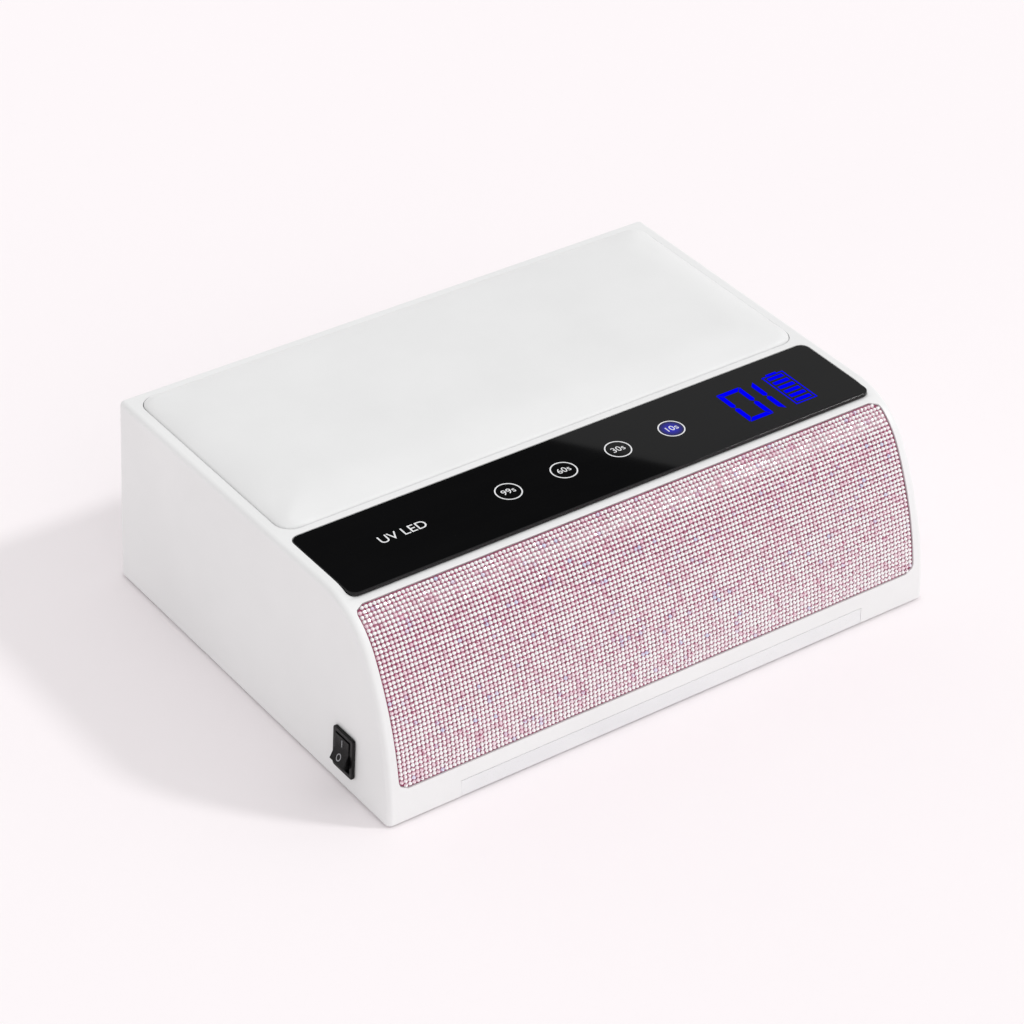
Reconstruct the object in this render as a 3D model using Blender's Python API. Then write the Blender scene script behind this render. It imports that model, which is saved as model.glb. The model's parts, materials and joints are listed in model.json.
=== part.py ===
"""UV LED nail lamp with a hand-rest cushion, rechargeable, for a nail salon.

Metres, +Z up, origin on the table under the middle of the lamp. The manicurist's side,
with the control panel and the rhinestones, faces -Y. The hand goes in from +Y.
The empty "lamp" stands at the lower edge of the housing, FOOT_LIFT above the table,
and every piece below it is laid out in that frame.
"""

import math

import bmesh
import bpy
from mathutils import Matrix, Vector

# Housing
WIDTH = 0.300
DEPTH = 0.221
HEIGHT = 0.0946
SIDE_DRAFT = 0.0221  # how far a side wall leans in for each metre of height
WALL = 0.0024
EDGE_ROUND = 0.0025
FOOT_LIFT = 0.0012
GAP = 0.0003  # clearance between touching pieces

# Front curve: a large arc up from the table, then a tighter shoulder arc into the top
FRONT_RADIUS = 0.1592
FRONT_CENTRE_Z = -0.0032
SHOULDER_RADIUS = 0.0382
SHOULDER_SWEEP = math.radians(60.5)

# Rhinestone sheet, laid in a shallow recess of the front curve
STONE_HALF_WIDTH = 0.1435
STONE_START = 0.0162  # arc length from the table edge
STONE_END = 0.1019
STONE_THICK = 0.0012
STONE_CORNER = 0.0045

# Cushion and its pocket in the top
PAD_HALF_WIDTH = 0.1414
PAD_FRONT = 0.0935  # distances called "front" or "rear" run back from the front edge
PAD_REAR = 0.2150
PAD_CORNER = 0.008
PAD_CROWN = 0.0036
POCKET_CLEAR = 0.0006
POCKET_FLOOR = 0.0744
POCKET_WALL = 0.0020
PAD_BOARD_THICK = 0.003

# Control panel
PANEL_HALF_WIDTH = 0.1423
PANEL_FRONT = 0.0403
PANEL_REAR = 0.0890
PANEL_THICK = 0.0020
PANEL_CORNER = 0.0045
SEAT_BLOCK_DEPTH = 0.0052
TOUCH_X = (-0.0433, -0.0133, 0.0167, 0.0467)
TOUCH_FROM_FRONT = 0.066
SCREEN_X = (0.0780, 0.1215)
SCREEN_FROM_FRONT = (0.0480, 0.0790)

# Hand cavity and its liner
CAVITY_HALF_WIDTH = 0.1141
CAVITY_ROOF = 0.0600
CAVITY_CORNER = 0.0300
CAVITY_END = -0.0485  # the closed inner end
LINER_WALL = 0.0016
FLANGE = 0.006

# Bottom frame and tray
FRAME_THICK = 0.0030
DECK_LOW = 0.0086
DECK_THICK = 0.0020
CHANNEL_HALF_WIDTH = 0.1130
TRAY_HALF_WIDTH = 0.1120
TRAY_LOW = 0.0024
TRAY_THICK = 0.0024
TRAY_LIP = 0.0028
TRAY_HEIGHT = 0.0080
SILL_FRONT = 0.1000
SCREW_PLACES = [(x, distance) for distance in (0.015, 0.115, 0.190) for x in (-0.137, 0.137)]
FOOT_PLACES = [(x, distance) for distance in (0.033, 0.201) for x in (-0.124, 0.124)]
FOOT_RADIUS = 0.006
BOSS_RADIUS = 0.004

# LEDs
LED_RADIUS = 0.004
LED_HOLE = 0.0045
LED_ROWS = (-0.025, 0.010, 0.045, 0.080)
ROOF_COLUMNS = (-0.075, -0.045, -0.015, 0.015, 0.045, 0.075)
END_COLUMNS = (-0.045, -0.015, 0.015, 0.045)
SIDE_LED_Z = 0.018
END_LED_Z = 0.030
BOARD_THICK = 0.0016
BOARD_GAP = 0.0004
SENSOR_Y = 0.1022
SENSOR_X = (-0.007, 0.007)

# Rocker switch and DC inlet, on the two side walls
PORT_FROM_FRONT = 0.0334
PORT_Z = 0.019
BEZEL_HALF = (0.0105, 0.0075)
BEZEL_THICK = 0.0018
SWITCH_BODY_HALF = (0.0092, 0.0063)
SWITCH_BODY_DEPTH = 0.013
ROCKER_WELL_HALF = (0.0085, 0.0054)
ROCKER_HALF = (0.0064, 0.0050)
ROCKER_PIVOT = -0.0037
ROCKER_END = 0.0075  # height of the ends of its face over the pivot
ROCKER_TILT = math.radians(13)
PIN_RADIUS = 0.0010
JACK_HOLE = 0.0041

# Battery
CELL_RADIUS = 0.0091
CELL_LENGTH = 0.0644
CELL_Y = -0.0800
CELL_X = (-0.0833, -0.0167)
CELL_Z = (0.0220, 0.0406)


def back_from_front(distance):
    return distance - DEPTH / 2


def material(name, colour, roughness, metallic=0.0):
    made = bpy.data.materials.new(name)
    made.use_nodes = True
    shader = made.node_tree.nodes["Principled BSDF"]
    shader.inputs["Base Color"].default_value = (*colour, 1.0)
    shader.inputs["Roughness"].default_value = roughness
    shader.inputs["Metallic"].default_value = metallic
    return made


def empty(name, location=(0, 0, 0), rotation=(0, 0, 0), parent=None):
    made = bpy.data.objects.new(name, None)
    made.location = location
    made.rotation_euler = rotation
    made.parent = parent
    bpy.context.scene.collection.objects.link(made)
    return made


def piece(name, shape, finish, parent, location=(0, 0, 0), rotation=(0, 0, 0)):
    """One named object from a bmesh."""
    bmesh.ops.recalc_face_normals(shape, faces=shape.faces)
    mesh = bpy.data.meshes.new(name)
    shape.to_mesh(mesh)
    shape.free()
    mesh.materials.append(finish)
    mesh.shade_smooth()
    mesh.set_sharp_from_angle(angle=math.radians(30))
    made = bpy.data.objects.new(name, mesh)
    made.parent = parent
    made.location = location
    made.rotation_euler = rotation
    bpy.context.scene.collection.objects.link(made)
    return made


def helper(name, shape, parent, location=(0, 0, 0), rotation=(0, 0, 0)):
    """A body that a Boolean uses, left out of the object itself."""
    made = piece(name, shape, helper_finish, parent, location, rotation)
    made.hide_render = True
    made.display_type = "WIRE"
    return made


def combine(target, operation, *others):
    for other in others:
        boolean = target.modifiers.new(other.name, "BOOLEAN")
        boolean.operation = operation
        boolean.object = other
        boolean.solver = "EXACT"
    return target


def box(low, high, into=None):
    """A box between two corners, in a new bmesh or added to one."""
    shape = into or bmesh.new()
    size = [b - a for a, b in zip(low, high)]
    middle = [(a + b) / 2 for a, b in zip(low, high)]
    placed = Matrix.Translation(middle) @ Matrix.Diagonal((*size, 1))
    bmesh.ops.create_cube(shape, size=1, matrix=placed)
    return shape


def cylinder(radius, low, high, steps=12, at=(0, 0), tip=None, into=None):
    """An upright cylinder; tip is the radius at its high end."""
    shape = into or bmesh.new()
    bmesh.ops.create_cone(
        shape,
        cap_ends=True,
        segments=steps,
        radius1=radius,
        radius2=radius if tip is None else tip,
        depth=high - low,
        matrix=Matrix.Translation((at[0], at[1], (low + high) / 2)),
    )
    return shape


def prism(outline, place, low, high):
    """An outline carried from low to high; place turns (u, v, along) into a point."""
    shape = bmesh.new()
    ends = [[shape.verts.new(place(u, v, along)) for u, v in outline] for along in (low, high)]
    for end in ends:
        shape.faces.new(end)
    for here in range(len(outline)):
        ahead = (here + 1) % len(outline)
        shape.faces.new((ends[0][here], ends[0][ahead], ends[1][ahead], ends[1][here]))
    return shape


def arc(centre, radius, start, end, steps):
    angles = [start + (end - start) * step / steps for step in range(steps + 1)]
    return [(centre[0] + radius * math.cos(angle), centre[1] + radius * math.sin(angle)) for angle in angles]


def rounded_outline(low, high, radius, steps=4):
    """A rectangle from low to high with round corners."""
    points = []
    corners = ((high[0], high[1]), (low[0], high[1]), (low[0], low[1]), (high[0], low[1]))
    inward = ((-1, -1), (1, -1), (1, 1), (-1, 1))
    for quarter, (corner, way) in enumerate(zip(corners, inward)):
        centre = (corner[0] + way[0] * radius, corner[1] + way[1] * radius)
        points += arc(centre, radius, quarter * math.pi / 2, (quarter + 1) * math.pi / 2, steps)
    return points


def rounded_plate(low, high, radius, steps=4):
    """A plate between two corners whose upright edges are round."""
    outline = rounded_outline(low[:2], high[:2], radius, steps)
    return prism(outline, lambda u, v, along: (u, v, along), low[2], high[2])


def turned(profile, steps=12):
    """A shape turned about Z from (radius, height) points, with its ends on the axis or closed into a ring."""
    shape = bmesh.new()
    around = [2 * math.pi * step / steps for step in range(steps)]
    closed = profile[0] == profile[-1]
    rings = []
    for radius, height in profile[:-1] if closed else profile:
        if radius == 0:
            rings.append([shape.verts.new((0, 0, height))])
        else:
            points = [(radius * math.cos(a), radius * math.sin(a), height) for a in around]
            rings.append([shape.verts.new(point) for point in points])
    pairs = list(zip(rings, rings[1:]))
    if closed:
        pairs.append((rings[-1], rings[0]))
    for inner, outer in pairs:
        for here in range(steps):
            ahead = (here + 1) % steps
            corners = [inner[here % len(inner)], inner[ahead % len(inner)]]
            corners += [outer[ahead % len(outer)], outer[here % len(outer)]]
            shape.faces.new(list(dict.fromkeys(corners)))
    return shape


# The front curve

FRONT_CENTRE = (back_from_front(FRONT_RADIUS), FRONT_CENTRE_Z)
SHOULDER_START = math.pi / 2 + SHOULDER_SWEEP
SHOULDER_CENTRE = (
    FRONT_CENTRE[0] + (FRONT_RADIUS - SHOULDER_RADIUS) * math.cos(SHOULDER_START),
    HEIGHT - SHOULDER_RADIUS,
)


def side_outline(inset, bottom, front_steps=10, shoulder_steps=8):
    """The housing seen from the side, as (y, z) points, drawn in from the skin by inset."""
    radius = FRONT_RADIUS - inset
    rise = max(bottom - FRONT_CENTRE_Z, 0)
    start = math.pi - math.asin(rise / radius)
    points = arc(FRONT_CENTRE, radius, start, SHOULDER_START, front_steps)
    shoulder = arc(SHOULDER_CENTRE, SHOULDER_RADIUS - inset, SHOULDER_START, math.pi / 2, shoulder_steps)
    points += shoulder[1:]
    points += [(DEPTH / 2 - inset, HEIGHT - inset), (DEPTH / 2 - inset, bottom)]
    if bottom < FRONT_CENTRE_Z:
        points.append((FRONT_CENTRE[0] - radius, bottom))
    return points


def half_width(z, inset=0.0):
    return WIDTH / 2 - inset - SIDE_DRAFT * z


def housing_body(inset, bottom):
    """The housing's outline carried across its width, with its side walls leaning in."""
    outline = side_outline(inset, bottom)
    return prism(outline, lambda y, z, side: (side * half_width(z, inset), y, z), -1, 1)


def front_point(distance, out):
    """A point (y, z) on the front curve, distance along it and out from it."""
    start = math.pi - math.asin(-FRONT_CENTRE_Z / FRONT_RADIUS)
    lower_length = FRONT_RADIUS * (start - SHOULDER_START)
    if distance < lower_length:
        centre, radius, angle = FRONT_CENTRE, FRONT_RADIUS, start - distance / FRONT_RADIUS
    else:
        centre, radius = SHOULDER_CENTRE, SHOULDER_RADIUS
        angle = SHOULDER_START - (distance - lower_length) / SHOULDER_RADIUS
    return (centre[0] + (radius + out) * math.cos(angle), centre[1] + (radius + out) * math.sin(angle))


def front_sheet(half_across, start, end, low, high, corner, steps=12):
    """A sheet that follows the front curve between two distances out from it."""
    along = [start + (end - start) * step / steps for step in range(steps + 1)]
    outline = [front_point(distance, high) for distance in along]
    outline += [front_point(distance, low) for distance in reversed(along)]
    shape = prism(outline, lambda y, z, x: (x, y, z), -half_across, half_across)
    corner_edges = []
    for edge in shape.edges:
        here, there = edge.verts
        lies_on_side = abs(here.co.x - there.co.x) < 1e-6
        if lies_on_side and abs(edge.calc_length() - (high - low)) < 1e-5:
            corner_edges.append(edge)
    bmesh.ops.bevel(shape, geom=corner_edges, offset=corner, segments=3, profile=0.5, affect="EDGES")
    return shape


for old in list(bpy.data.objects):
    bpy.data.objects.remove(old, do_unlink=True)

helper_finish = material("helper", (0.5, 0.5, 0.5), 0.5)
white_abs = material("white_abs", (0.83, 0.83, 0.84), 0.32)
liner_finish = material("liner_white", (0.80, 0.81, 0.83), 0.15, 0.4)
tray_finish = material("tray_white", (0.80, 0.80, 0.81), 0.25)
pad_finish = material("pu_leather", (0.86, 0.85, 0.86), 0.42)
board_finish = material("fibreboard", (0.35, 0.25, 0.16), 0.8)
panel_finish = material("tinted_acrylic", (0.012, 0.012, 0.013), 0.08)
stone_finish = material("rhinestones", (0.85, 0.52, 0.62), 0.2)
black_nylon = material("black_nylon", (0.015, 0.015, 0.016), 0.35)
rubber = material("rubber", (0.03, 0.03, 0.03), 0.8)
circuit = material("circuit_board", (0.02, 0.12, 0.05), 0.5)
aluminium_board = material("aluminium_board", (0.75, 0.76, 0.78), 0.4, 0.6)
steel = material("steel", (0.55, 0.56, 0.58), 0.3, 1.0)
brass = material("brass", (0.75, 0.58, 0.28), 0.3, 1.0)
magnet_finish = material("magnet", (0.60, 0.60, 0.62), 0.25, 1.0)
cell_finish = material("cell_wrap", (0.04, 0.16, 0.42), 0.4)
screen_finish = material("display", (0.02, 0.02, 0.05), 0.3)
wire_finish = material("wire", (0.50, 0.03, 0.03), 0.5)

lamp = empty("lamp", (0, 0, FOOT_LIFT))


# Upper housing


def arch_outline(half_across, roof, corner, bottom, steps=5):
    """The hand opening's outline, as (x, z) points: upright sides and a roof with round corners."""
    right = arc((half_across - corner, roof - corner), corner, 0, math.pi / 2, steps)
    left = [(-x, z) for x, z in reversed(right)]
    return [(half_across, bottom), *right, *left, (-half_across, bottom)]


def arch_prism(outline, low, high):
    return prism(outline, lambda x, z, y: (x, y, z), low, high)


def rounded_skin():
    """The housing's outer skin, with its side and rear top edges rounded."""
    shape = housing_body(0, 0)
    bmesh.ops.recalc_face_normals(shape, faces=shape.faces)
    rear_top = HEIGHT - 1e-4
    edges = []
    for edge in shape.edges:
        ends = [vert.co for vert in edge.verts]
        low = max(end.z for end in ends) < 1e-4
        beside = any(abs(face.normal.x) > 0.9 for face in edge.link_faces)
        rear = all(end.y > DEPTH / 2 - 1e-4 and end.z > rear_top for end in ends)
        if (beside or rear) and not low:
            edges.append(edge)
    bmesh.ops.bevel(shape, geom=edges, offset=EDGE_ROUND, segments=3, profile=0.5, affect="EDGES")
    return shape


def pocket_shape(grow, low):
    corner = PAD_CORNER + grow
    return rounded_plate(
        (-PAD_HALF_WIDTH - grow, back_from_front(PAD_FRONT) - grow, low),
        (PAD_HALF_WIDTH + grow, back_from_front(PAD_REAR) + grow, HEIGHT + 0.004),
        corner,
    )


def make_housing():
    # The hollow leaves standing the cushion's pocket, the control panel's seat and the screw bosses.
    hollow = helper("hollow", housing_body(WALL, -0.010), lamp)
    pocket_keep = helper("pocket_keep", pocket_shape(POCKET_CLEAR + POCKET_WALL, POCKET_FLOOR - WALL), lamp)
    seat_low = (-0.160, back_from_front(0.036), HEIGHT - SEAT_BLOCK_DEPTH)
    seat_high = (0.160, back_from_front(PAD_FRONT) + 0.004, HEIGHT + 0.004)
    seat_keep = helper("seat_keep", box(seat_low, seat_high), lamp)
    bosses = bmesh.new()
    for x, distance in SCREW_PLACES:
        cylinder(BOSS_RADIUS, FRAME_THICK + GAP, HEIGHT, 10, (x, back_from_front(distance)), into=bosses)
    boss_keep = helper("boss_keep", bosses, lamp)
    combine(hollow, "DIFFERENCE", pocket_keep, seat_keep, boss_keep)

    pocket = helper("pocket", pocket_shape(POCKET_CLEAR, POCKET_FLOOR), lamp)
    panel_low = (-PANEL_HALF_WIDTH - GAP, back_from_front(PANEL_FRONT) - GAP, HEIGHT - PANEL_THICK - GAP)
    panel_high = (PANEL_HALF_WIDTH + GAP, back_from_front(PANEL_REAR) + GAP, HEIGHT + 0.004)
    panel_seat = helper("panel_seat", rounded_plate(panel_low, panel_high, PANEL_CORNER + GAP), lamp)
    window_low = (-0.064, back_from_front(0.046), HEIGHT - 0.012)
    window_high = (0.126, back_from_front(0.083), HEIGHT + 0.006)
    window = helper("window", box(window_low, window_high), lamp)
    recess_start, recess_end = STONE_START - GAP, STONE_END + GAP
    recess_low = -STONE_THICK - GAP
    recess = front_sheet(STONE_HALF_WIDTH + GAP, recess_start, recess_end, recess_low, 0.004, STONE_CORNER)
    stone_recess = helper("stone_recess", recess, lamp)
    slot_low = (-TRAY_HALF_WIDTH - GAP, back_from_front(-0.004), -0.004)
    slot_high = (TRAY_HALF_WIDTH + GAP, back_from_front(0.008), TRAY_HEIGHT + GAP)
    tray_slot = helper("tray_slot", box(slot_low, slot_high), lamp)
    opening = arch_outline(CAVITY_HALF_WIDTH, CAVITY_ROOF, CAVITY_CORNER, -0.005)
    hand_opening = helper("hand_opening", arch_prism(opening, DEPTH / 2 - 0.008, DEPTH / 2 + 0.004), lamp)
    pilots = bmesh.new()
    for x, distance in SCREW_PLACES:
        cylinder(0.0016, 0, 0.014, 8, (x, back_from_front(distance)), into=pilots)
    pilot_holes = helper("pilot_holes", pilots, lamp)
    up, along = [half + GAP for half in SWITCH_BODY_HALF]
    switch_hole = helper("switch_hole", box((-up, -along, -0.010), (up, along, 0.006)), switch_mount)
    jack_hole = helper("jack_hole", cylinder(JACK_HOLE, -0.010, 0.006, 16), jack_mount)

    housing = piece("upper_housing", rounded_skin(), white_abs, lamp)
    combine(housing, "DIFFERENCE", hollow, pocket, panel_seat, window, stone_recess)
    combine(housing, "DIFFERENCE", tray_slot, hand_opening, pilot_holes, switch_hole, jack_hole)


# Bottom frame, tray, feet and screws


def make_bottom_frame():
    outer = half_width(FRAME_THICK, WALL) - 2 * GAP
    rear = DEPTH / 2 - WALL - 2 * GAP
    front = back_from_front(WALL + 0.0005)
    liner_end = CAVITY_END - LINER_WALL
    deck_high = DECK_LOW + DECK_THICK
    web = CHANNEL_HALF_WIDTH + 0.002
    ledge = CHANNEL_HALF_WIDTH - 0.009

    right_rail = box((CHANNEL_HALF_WIDTH, front, 0), (outer, rear, FRAME_THICK))
    frame = piece("bottom_frame", right_rail, white_abs, lamp)
    left_rail = box((-outer, front, 0), (-CHANNEL_HALF_WIDTH, rear, FRAME_THICK))
    sill_half = CHANNEL_HALF_WIDTH + 0.001
    sill = box((-sill_half, SILL_FRONT, 0), (sill_half, rear, TRAY_LOW + TRAY_THICK))
    deck_front = front_point(DECK_LOW, -WALL - 2 * GAP)[0]
    deck_rear = liner_end - GAP
    deck = box((-web, deck_front, DECK_LOW), (web, deck_rear, deck_high))
    joined = [helper("left_rail", left_rail, lamp), helper("deck", deck, lamp)]
    for side in (-1, 1):
        web_x = sorted((side * CHANNEL_HALF_WIDTH, side * web))
        web_box = box((web_x[0], deck_front, 0.0005), (web_x[1], deck_rear, deck_high - 0.0005))
        ledge_x = sorted((side * ledge, side * (CHANNEL_HALF_WIDTH + 0.001)))
        ledge_low = (ledge_x[0], front + TRAY_LIP, 0)
        ledge_box = box(ledge_low, (ledge_x[1], SILL_FRONT + 0.001, 0.0020))
        joined.append(helper(f"web_{side}", web_box, lamp))
        joined.append(helper(f"ledge_{side}", ledge_box, lamp))
    combine(frame, "UNION", *joined, helper("sill", sill, lamp))

    cuts = bmesh.new()
    for x, distance in SCREW_PLACES:
        at = (x, back_from_front(distance))
        cylinder(0.0018, 0.0010, FRAME_THICK + 0.001, 10, at, into=cuts)
    heads = bmesh.new()
    for x, distance in SCREW_PLACES:
        cylinder(0.0034, -0.001, 0.0016, 10, (x, back_from_front(distance)), into=heads)
    for x, distance in FOOT_PLACES:
        cylinder(FOOT_RADIUS + GAP, -0.001, 0.0008, 16, (x, back_from_front(distance)), into=heads)
    vents = bmesh.new()
    for side in (-1, 1):
        for slot in range(7):
            y = -0.048 + 0.016 * slot
            low_x, high_x = sorted((side * 0.1195, side * 0.1315))
            box((low_x, y, -0.001), (high_x, y + 0.0035, FRAME_THICK + 0.001), into=vents)
    plates = bmesh.new()
    for side in (-1, 1):
        middle = side * 0.060
        plate_low = (middle - 0.0083, SILL_FRONT - 0.001, 0.0007)
        box(plate_low, (middle + 0.0083, SILL_FRONT + 0.0013, 0.0060), into=plates)
    combine(
        frame,
        "DIFFERENCE",
        helper("frame_screw_holes", cuts, lamp),
        helper("frame_recesses", heads, lamp),
        helper("frame_vents", vents, lamp),
        helper("frame_plate_seats", plates, lamp),
    )


def make_tray():
    slide = empty("tray_slide", (0, 0, 0), parent=lamp)
    rear = SILL_FRONT - GAP
    lip_back = back_from_front(TRAY_LIP)
    top = TRAY_LOW + TRAY_THICK
    wall_in = TRAY_HALF_WIDTH - 0.0016
    cross = [
        (-TRAY_HALF_WIDTH, TRAY_LOW), (TRAY_HALF_WIDTH, TRAY_LOW), (TRAY_HALF_WIDTH, TRAY_HEIGHT),
        (wall_in, TRAY_HEIGHT), (wall_in, top), (-wall_in, top), (-wall_in, TRAY_HEIGHT),
        (-TRAY_HALF_WIDTH, TRAY_HEIGHT),
    ]  # fmt: skip
    tray = piece("base_tray", arch_prism(cross, lip_back - 0.0005, rear), tray_finish, slide)
    lip_outline = [front_point(0, 0), (lip_back, 0), (lip_back, TRAY_HEIGHT), front_point(TRAY_HEIGHT, 0)]
    lip = prism(lip_outline, lambda y, z, x: (x, y, z), -TRAY_HALF_WIDTH, TRAY_HALF_WIDTH)
    rib = box((-0.095, rear - 0.007, 0.0006), (0.095, rear, TRAY_LOW + 0.001))
    combine(tray, "UNION", helper("tray_lip", lip, slide), helper("tray_rib", rib, slide))
    seats = bmesh.new()
    for side in (-1, 1):
        middle = side * 0.060
        seat_low = (middle - 0.0073, rear - 0.0035, 0.0012)
        box(seat_low, (middle + 0.0073, rear + 0.001, 0.0040), into=seats)
    combine(tray, "DIFFERENCE", helper("magnet_seats", seats, slide))
    for side, word in ((-1, "left"), (1, "right")):
        magnet = box((-0.007, -0.0015, -0.0011), (0.007, 0.0015, 0.0011))
        piece(f"tray_magnet_{word}", magnet, magnet_finish, slide, (side * 0.060, rear - 0.0017, 0.0026))
        plate = box((-0.008, -0.0004, -0.0018), (0.008, 0.0004, 0.0018))
        piece(f"catch_plate_{word}", plate, steel, lamp, (side * 0.060, SILL_FRONT + 0.0006, 0.0028))


def make_feet_and_screws():
    corners = ("front_left", "front_right", "rear_left", "rear_right")
    for word, (x, distance) in zip(corners, FOOT_PLACES):
        profile = [(0, 0.0005), (FOOT_RADIUS, 0.0005), (FOOT_RADIUS, -0.0006)]
        profile += [(FOOT_RADIUS - 0.0006, -FOOT_LIFT), (0, -FOOT_LIFT)]
        foot = turned(profile, 16)
        piece(f"foot_{word}", foot, rubber, lamp, (x, back_from_front(distance), 0))
    for number, (x, distance) in enumerate(SCREW_PLACES, 1):
        profile = [(0, 0.0010), (0.0008, 0.0006), (0.0012, 0.0002), (0.0026, 0.0002), (0.0030, 0.0006)]
        profile += [(0.0030, 0.0013), (0.0013, 0.0013), (0.0013, 0.0120), (0, 0.0134)]
        screw = turned(profile, 8)
        piece(f"frame_screw_{number}", screw, steel, lamp, (x, back_from_front(distance), 0))


# Cavity liner, LED boards and hand sensor


def make_liner():
    outer = CAVITY_HALF_WIDTH + LINER_WALL
    liner_low = FRAME_THICK + GAP
    flange_front = DEPTH / 2 - WALL - GAP - 0.0018
    flange_rear = DEPTH / 2 - WALL - GAP
    end = CAVITY_END - LINER_WALL
    skin = arch_outline(outer, CAVITY_ROOF + LINER_WALL, CAVITY_CORNER + LINER_WALL, liner_low)
    liner = piece("cavity_liner", arch_prism(skin, end, flange_rear), liner_finish, lamp)
    grow = LINER_WALL + FLANGE
    rim = arch_outline(outer + FLANGE, CAVITY_ROOF + grow, CAVITY_CORNER + grow, liner_low)
    flange = helper("liner_flange", arch_prism(rim, flange_front, flange_rear), lamp)
    combine(liner, "UNION", flange)
    inside = arch_outline(CAVITY_HALF_WIDTH, CAVITY_ROOF, CAVITY_CORNER, -0.005)
    hollow = helper("liner_hollow", arch_prism(inside, CAVITY_END, DEPTH / 2 + 0.004), lamp)
    pass_low = (-TRAY_HALF_WIDTH - 2 * GAP, end - 0.002, -0.005)
    pass_high = (TRAY_HALF_WIDTH + 2 * GAP, CAVITY_END + 0.001, DECK_LOW)
    tray_pass = helper("tray_pass", box(pass_low, pass_high), lamp)
    holes = bmesh.new()
    for x in ROOF_COLUMNS:
        for y in LED_ROWS:
            cylinder(LED_HOLE, CAVITY_ROOF - 0.003, CAVITY_ROOF + 0.005, 8, (x, y), into=holes)
    for x in SENSOR_X:
        cylinder(0.0025, CAVITY_ROOF - 0.003, CAVITY_ROOF + 0.005, 8, (x, SENSOR_Y), into=holes)
    roof_holes = helper("roof_holes", holes, lamp)
    sideways = bmesh.new()
    for y in LED_ROWS:
        for low, high in ((-outer - 0.003, -outer + 0.004), (outer - 0.004, outer + 0.003)):
            cylinder(LED_HOLE, low, high, 8, (-SIDE_LED_Z, y), into=sideways)
    side_holes = helper("side_holes", sideways, lamp, rotation=(0, math.pi / 2, 0))
    endways = bmesh.new()
    for x in END_COLUMNS:
        cylinder(LED_HOLE, -end - 0.004, -end + 0.003, 8, (x, END_LED_Z), into=endways)
    end_holes = helper("end_holes", endways, lamp, rotation=(math.pi / 2, 0, 0))
    combine(liner, "DIFFERENCE", hollow, tray_pass, roof_holes, side_holes, end_holes)


def led_board(name, half_size, places, location, rotation):
    """A board in its own XY plane with its LEDs standing on +Z."""
    low = (-half_size[0], -half_size[1], 0)
    high = (half_size[0], half_size[1], BOARD_THICK)
    board = piece(name, box(low, high), aluminium_board, lamp, location, rotation)
    leds = bmesh.new()
    for place in places:
        led_low, led_high = BOARD_THICK - 0.0005, BOARD_THICK + 0.0032
        cylinder(LED_RADIUS, led_low, led_high, 8, place, LED_RADIUS * 0.7, into=leds)
    combine(board, "UNION", helper(f"{name}_leds", leds, lamp, location, rotation))


def make_led_boards():
    outer = CAVITY_HALF_WIDTH + LINER_WALL + BOARD_GAP + BOARD_THICK
    roof = CAVITY_ROOF + LINER_WALL + BOARD_GAP + BOARD_THICK
    middle = sum(LED_ROWS) / len(LED_ROWS)
    roof_places = [(x, middle - y) for x in ROOF_COLUMNS for y in LED_ROWS]
    led_board("led_board_roof", (0.084, 0.068), roof_places, (0, middle, roof), (math.pi, 0, 0))
    side_places = [(0, y - middle) for y in LED_ROWS]
    for side, word in ((-1, "left"), (1, "right")):
        turn = (0, -side * math.pi / 2, 0)
        led_board(f"led_board_{word}", (0.009, 0.066), side_places, (side * outer, middle, SIDE_LED_Z), turn)
    end_places = [(x, 0) for x in END_COLUMNS]
    end = CAVITY_END - LINER_WALL - BOARD_GAP - BOARD_THICK
    led_board("led_board_end", (0.058, 0.010), end_places, (0, end, END_LED_Z), (-math.pi / 2, 0, 0))
    sensor_low = CAVITY_ROOF + LINER_WALL + BOARD_GAP
    sensor_high = sensor_low + 0.0012
    sensor = box((-0.014, SENSOR_Y - 0.0030, sensor_low), (0.014, SENSOR_Y + 0.0030, sensor_high))
    eyes = bmesh.new()
    for x in SENSOR_X:
        cylinder(0.0020, CAVITY_ROOF - 0.0004, sensor_low + 0.0004, 8, (x, SENSOR_Y), into=eyes)
    board = piece("hand_sensor_board", sensor, circuit, lamp)
    combine(board, "UNION", helper("sensor_eyes", eyes, lamp))


# Control panel


def make_control_panel():
    low = (-PANEL_HALF_WIDTH, back_from_front(PANEL_FRONT), HEIGHT - PANEL_THICK)
    high = (PANEL_HALF_WIDTH, back_from_front(PANEL_REAR), HEIGHT)
    piece("control_panel", rounded_plate(low, high, PANEL_CORNER), panel_finish, lamp)
    board_top = HEIGHT - SEAT_BLOCK_DEPTH - 2 * GAP
    board_low = (-0.066, back_from_front(0.045), board_top - BOARD_THICK)
    board = box(board_low, (0.128, back_from_front(0.085), board_top))
    piece("control_board", board, circuit, lamp)
    under_panel = HEIGHT - PANEL_THICK - GAP
    screen_low = (SCREEN_X[0], back_from_front(SCREEN_FROM_FRONT[0]), board_top + GAP)
    screen_high = (SCREEN_X[1], back_from_front(SCREEN_FROM_FRONT[1]), under_panel)
    piece("display_module", box(screen_low, screen_high), screen_finish, lamp)
    tall = under_panel - board_top - GAP
    for number, x in enumerate(TOUCH_X, 1):
        profile = [(0.0012, 0), (0.0030, 0), (0.0034, tall / 2), (0.0030, tall), (0.0012, tall)]
        place = (x, back_from_front(TOUCH_FROM_FRONT), board_top + GAP)
        piece(f"touch_spring_{number}", turned([*profile, profile[0]]), steel, lamp, place)


def make_rhinestone_sheet():
    sheet = front_sheet(STONE_HALF_WIDTH, STONE_START, STONE_END, -STONE_THICK, 0, STONE_CORNER)
    piece("rhinestone_sheet", sheet, stone_finish, lamp)


# Cushion


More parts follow.
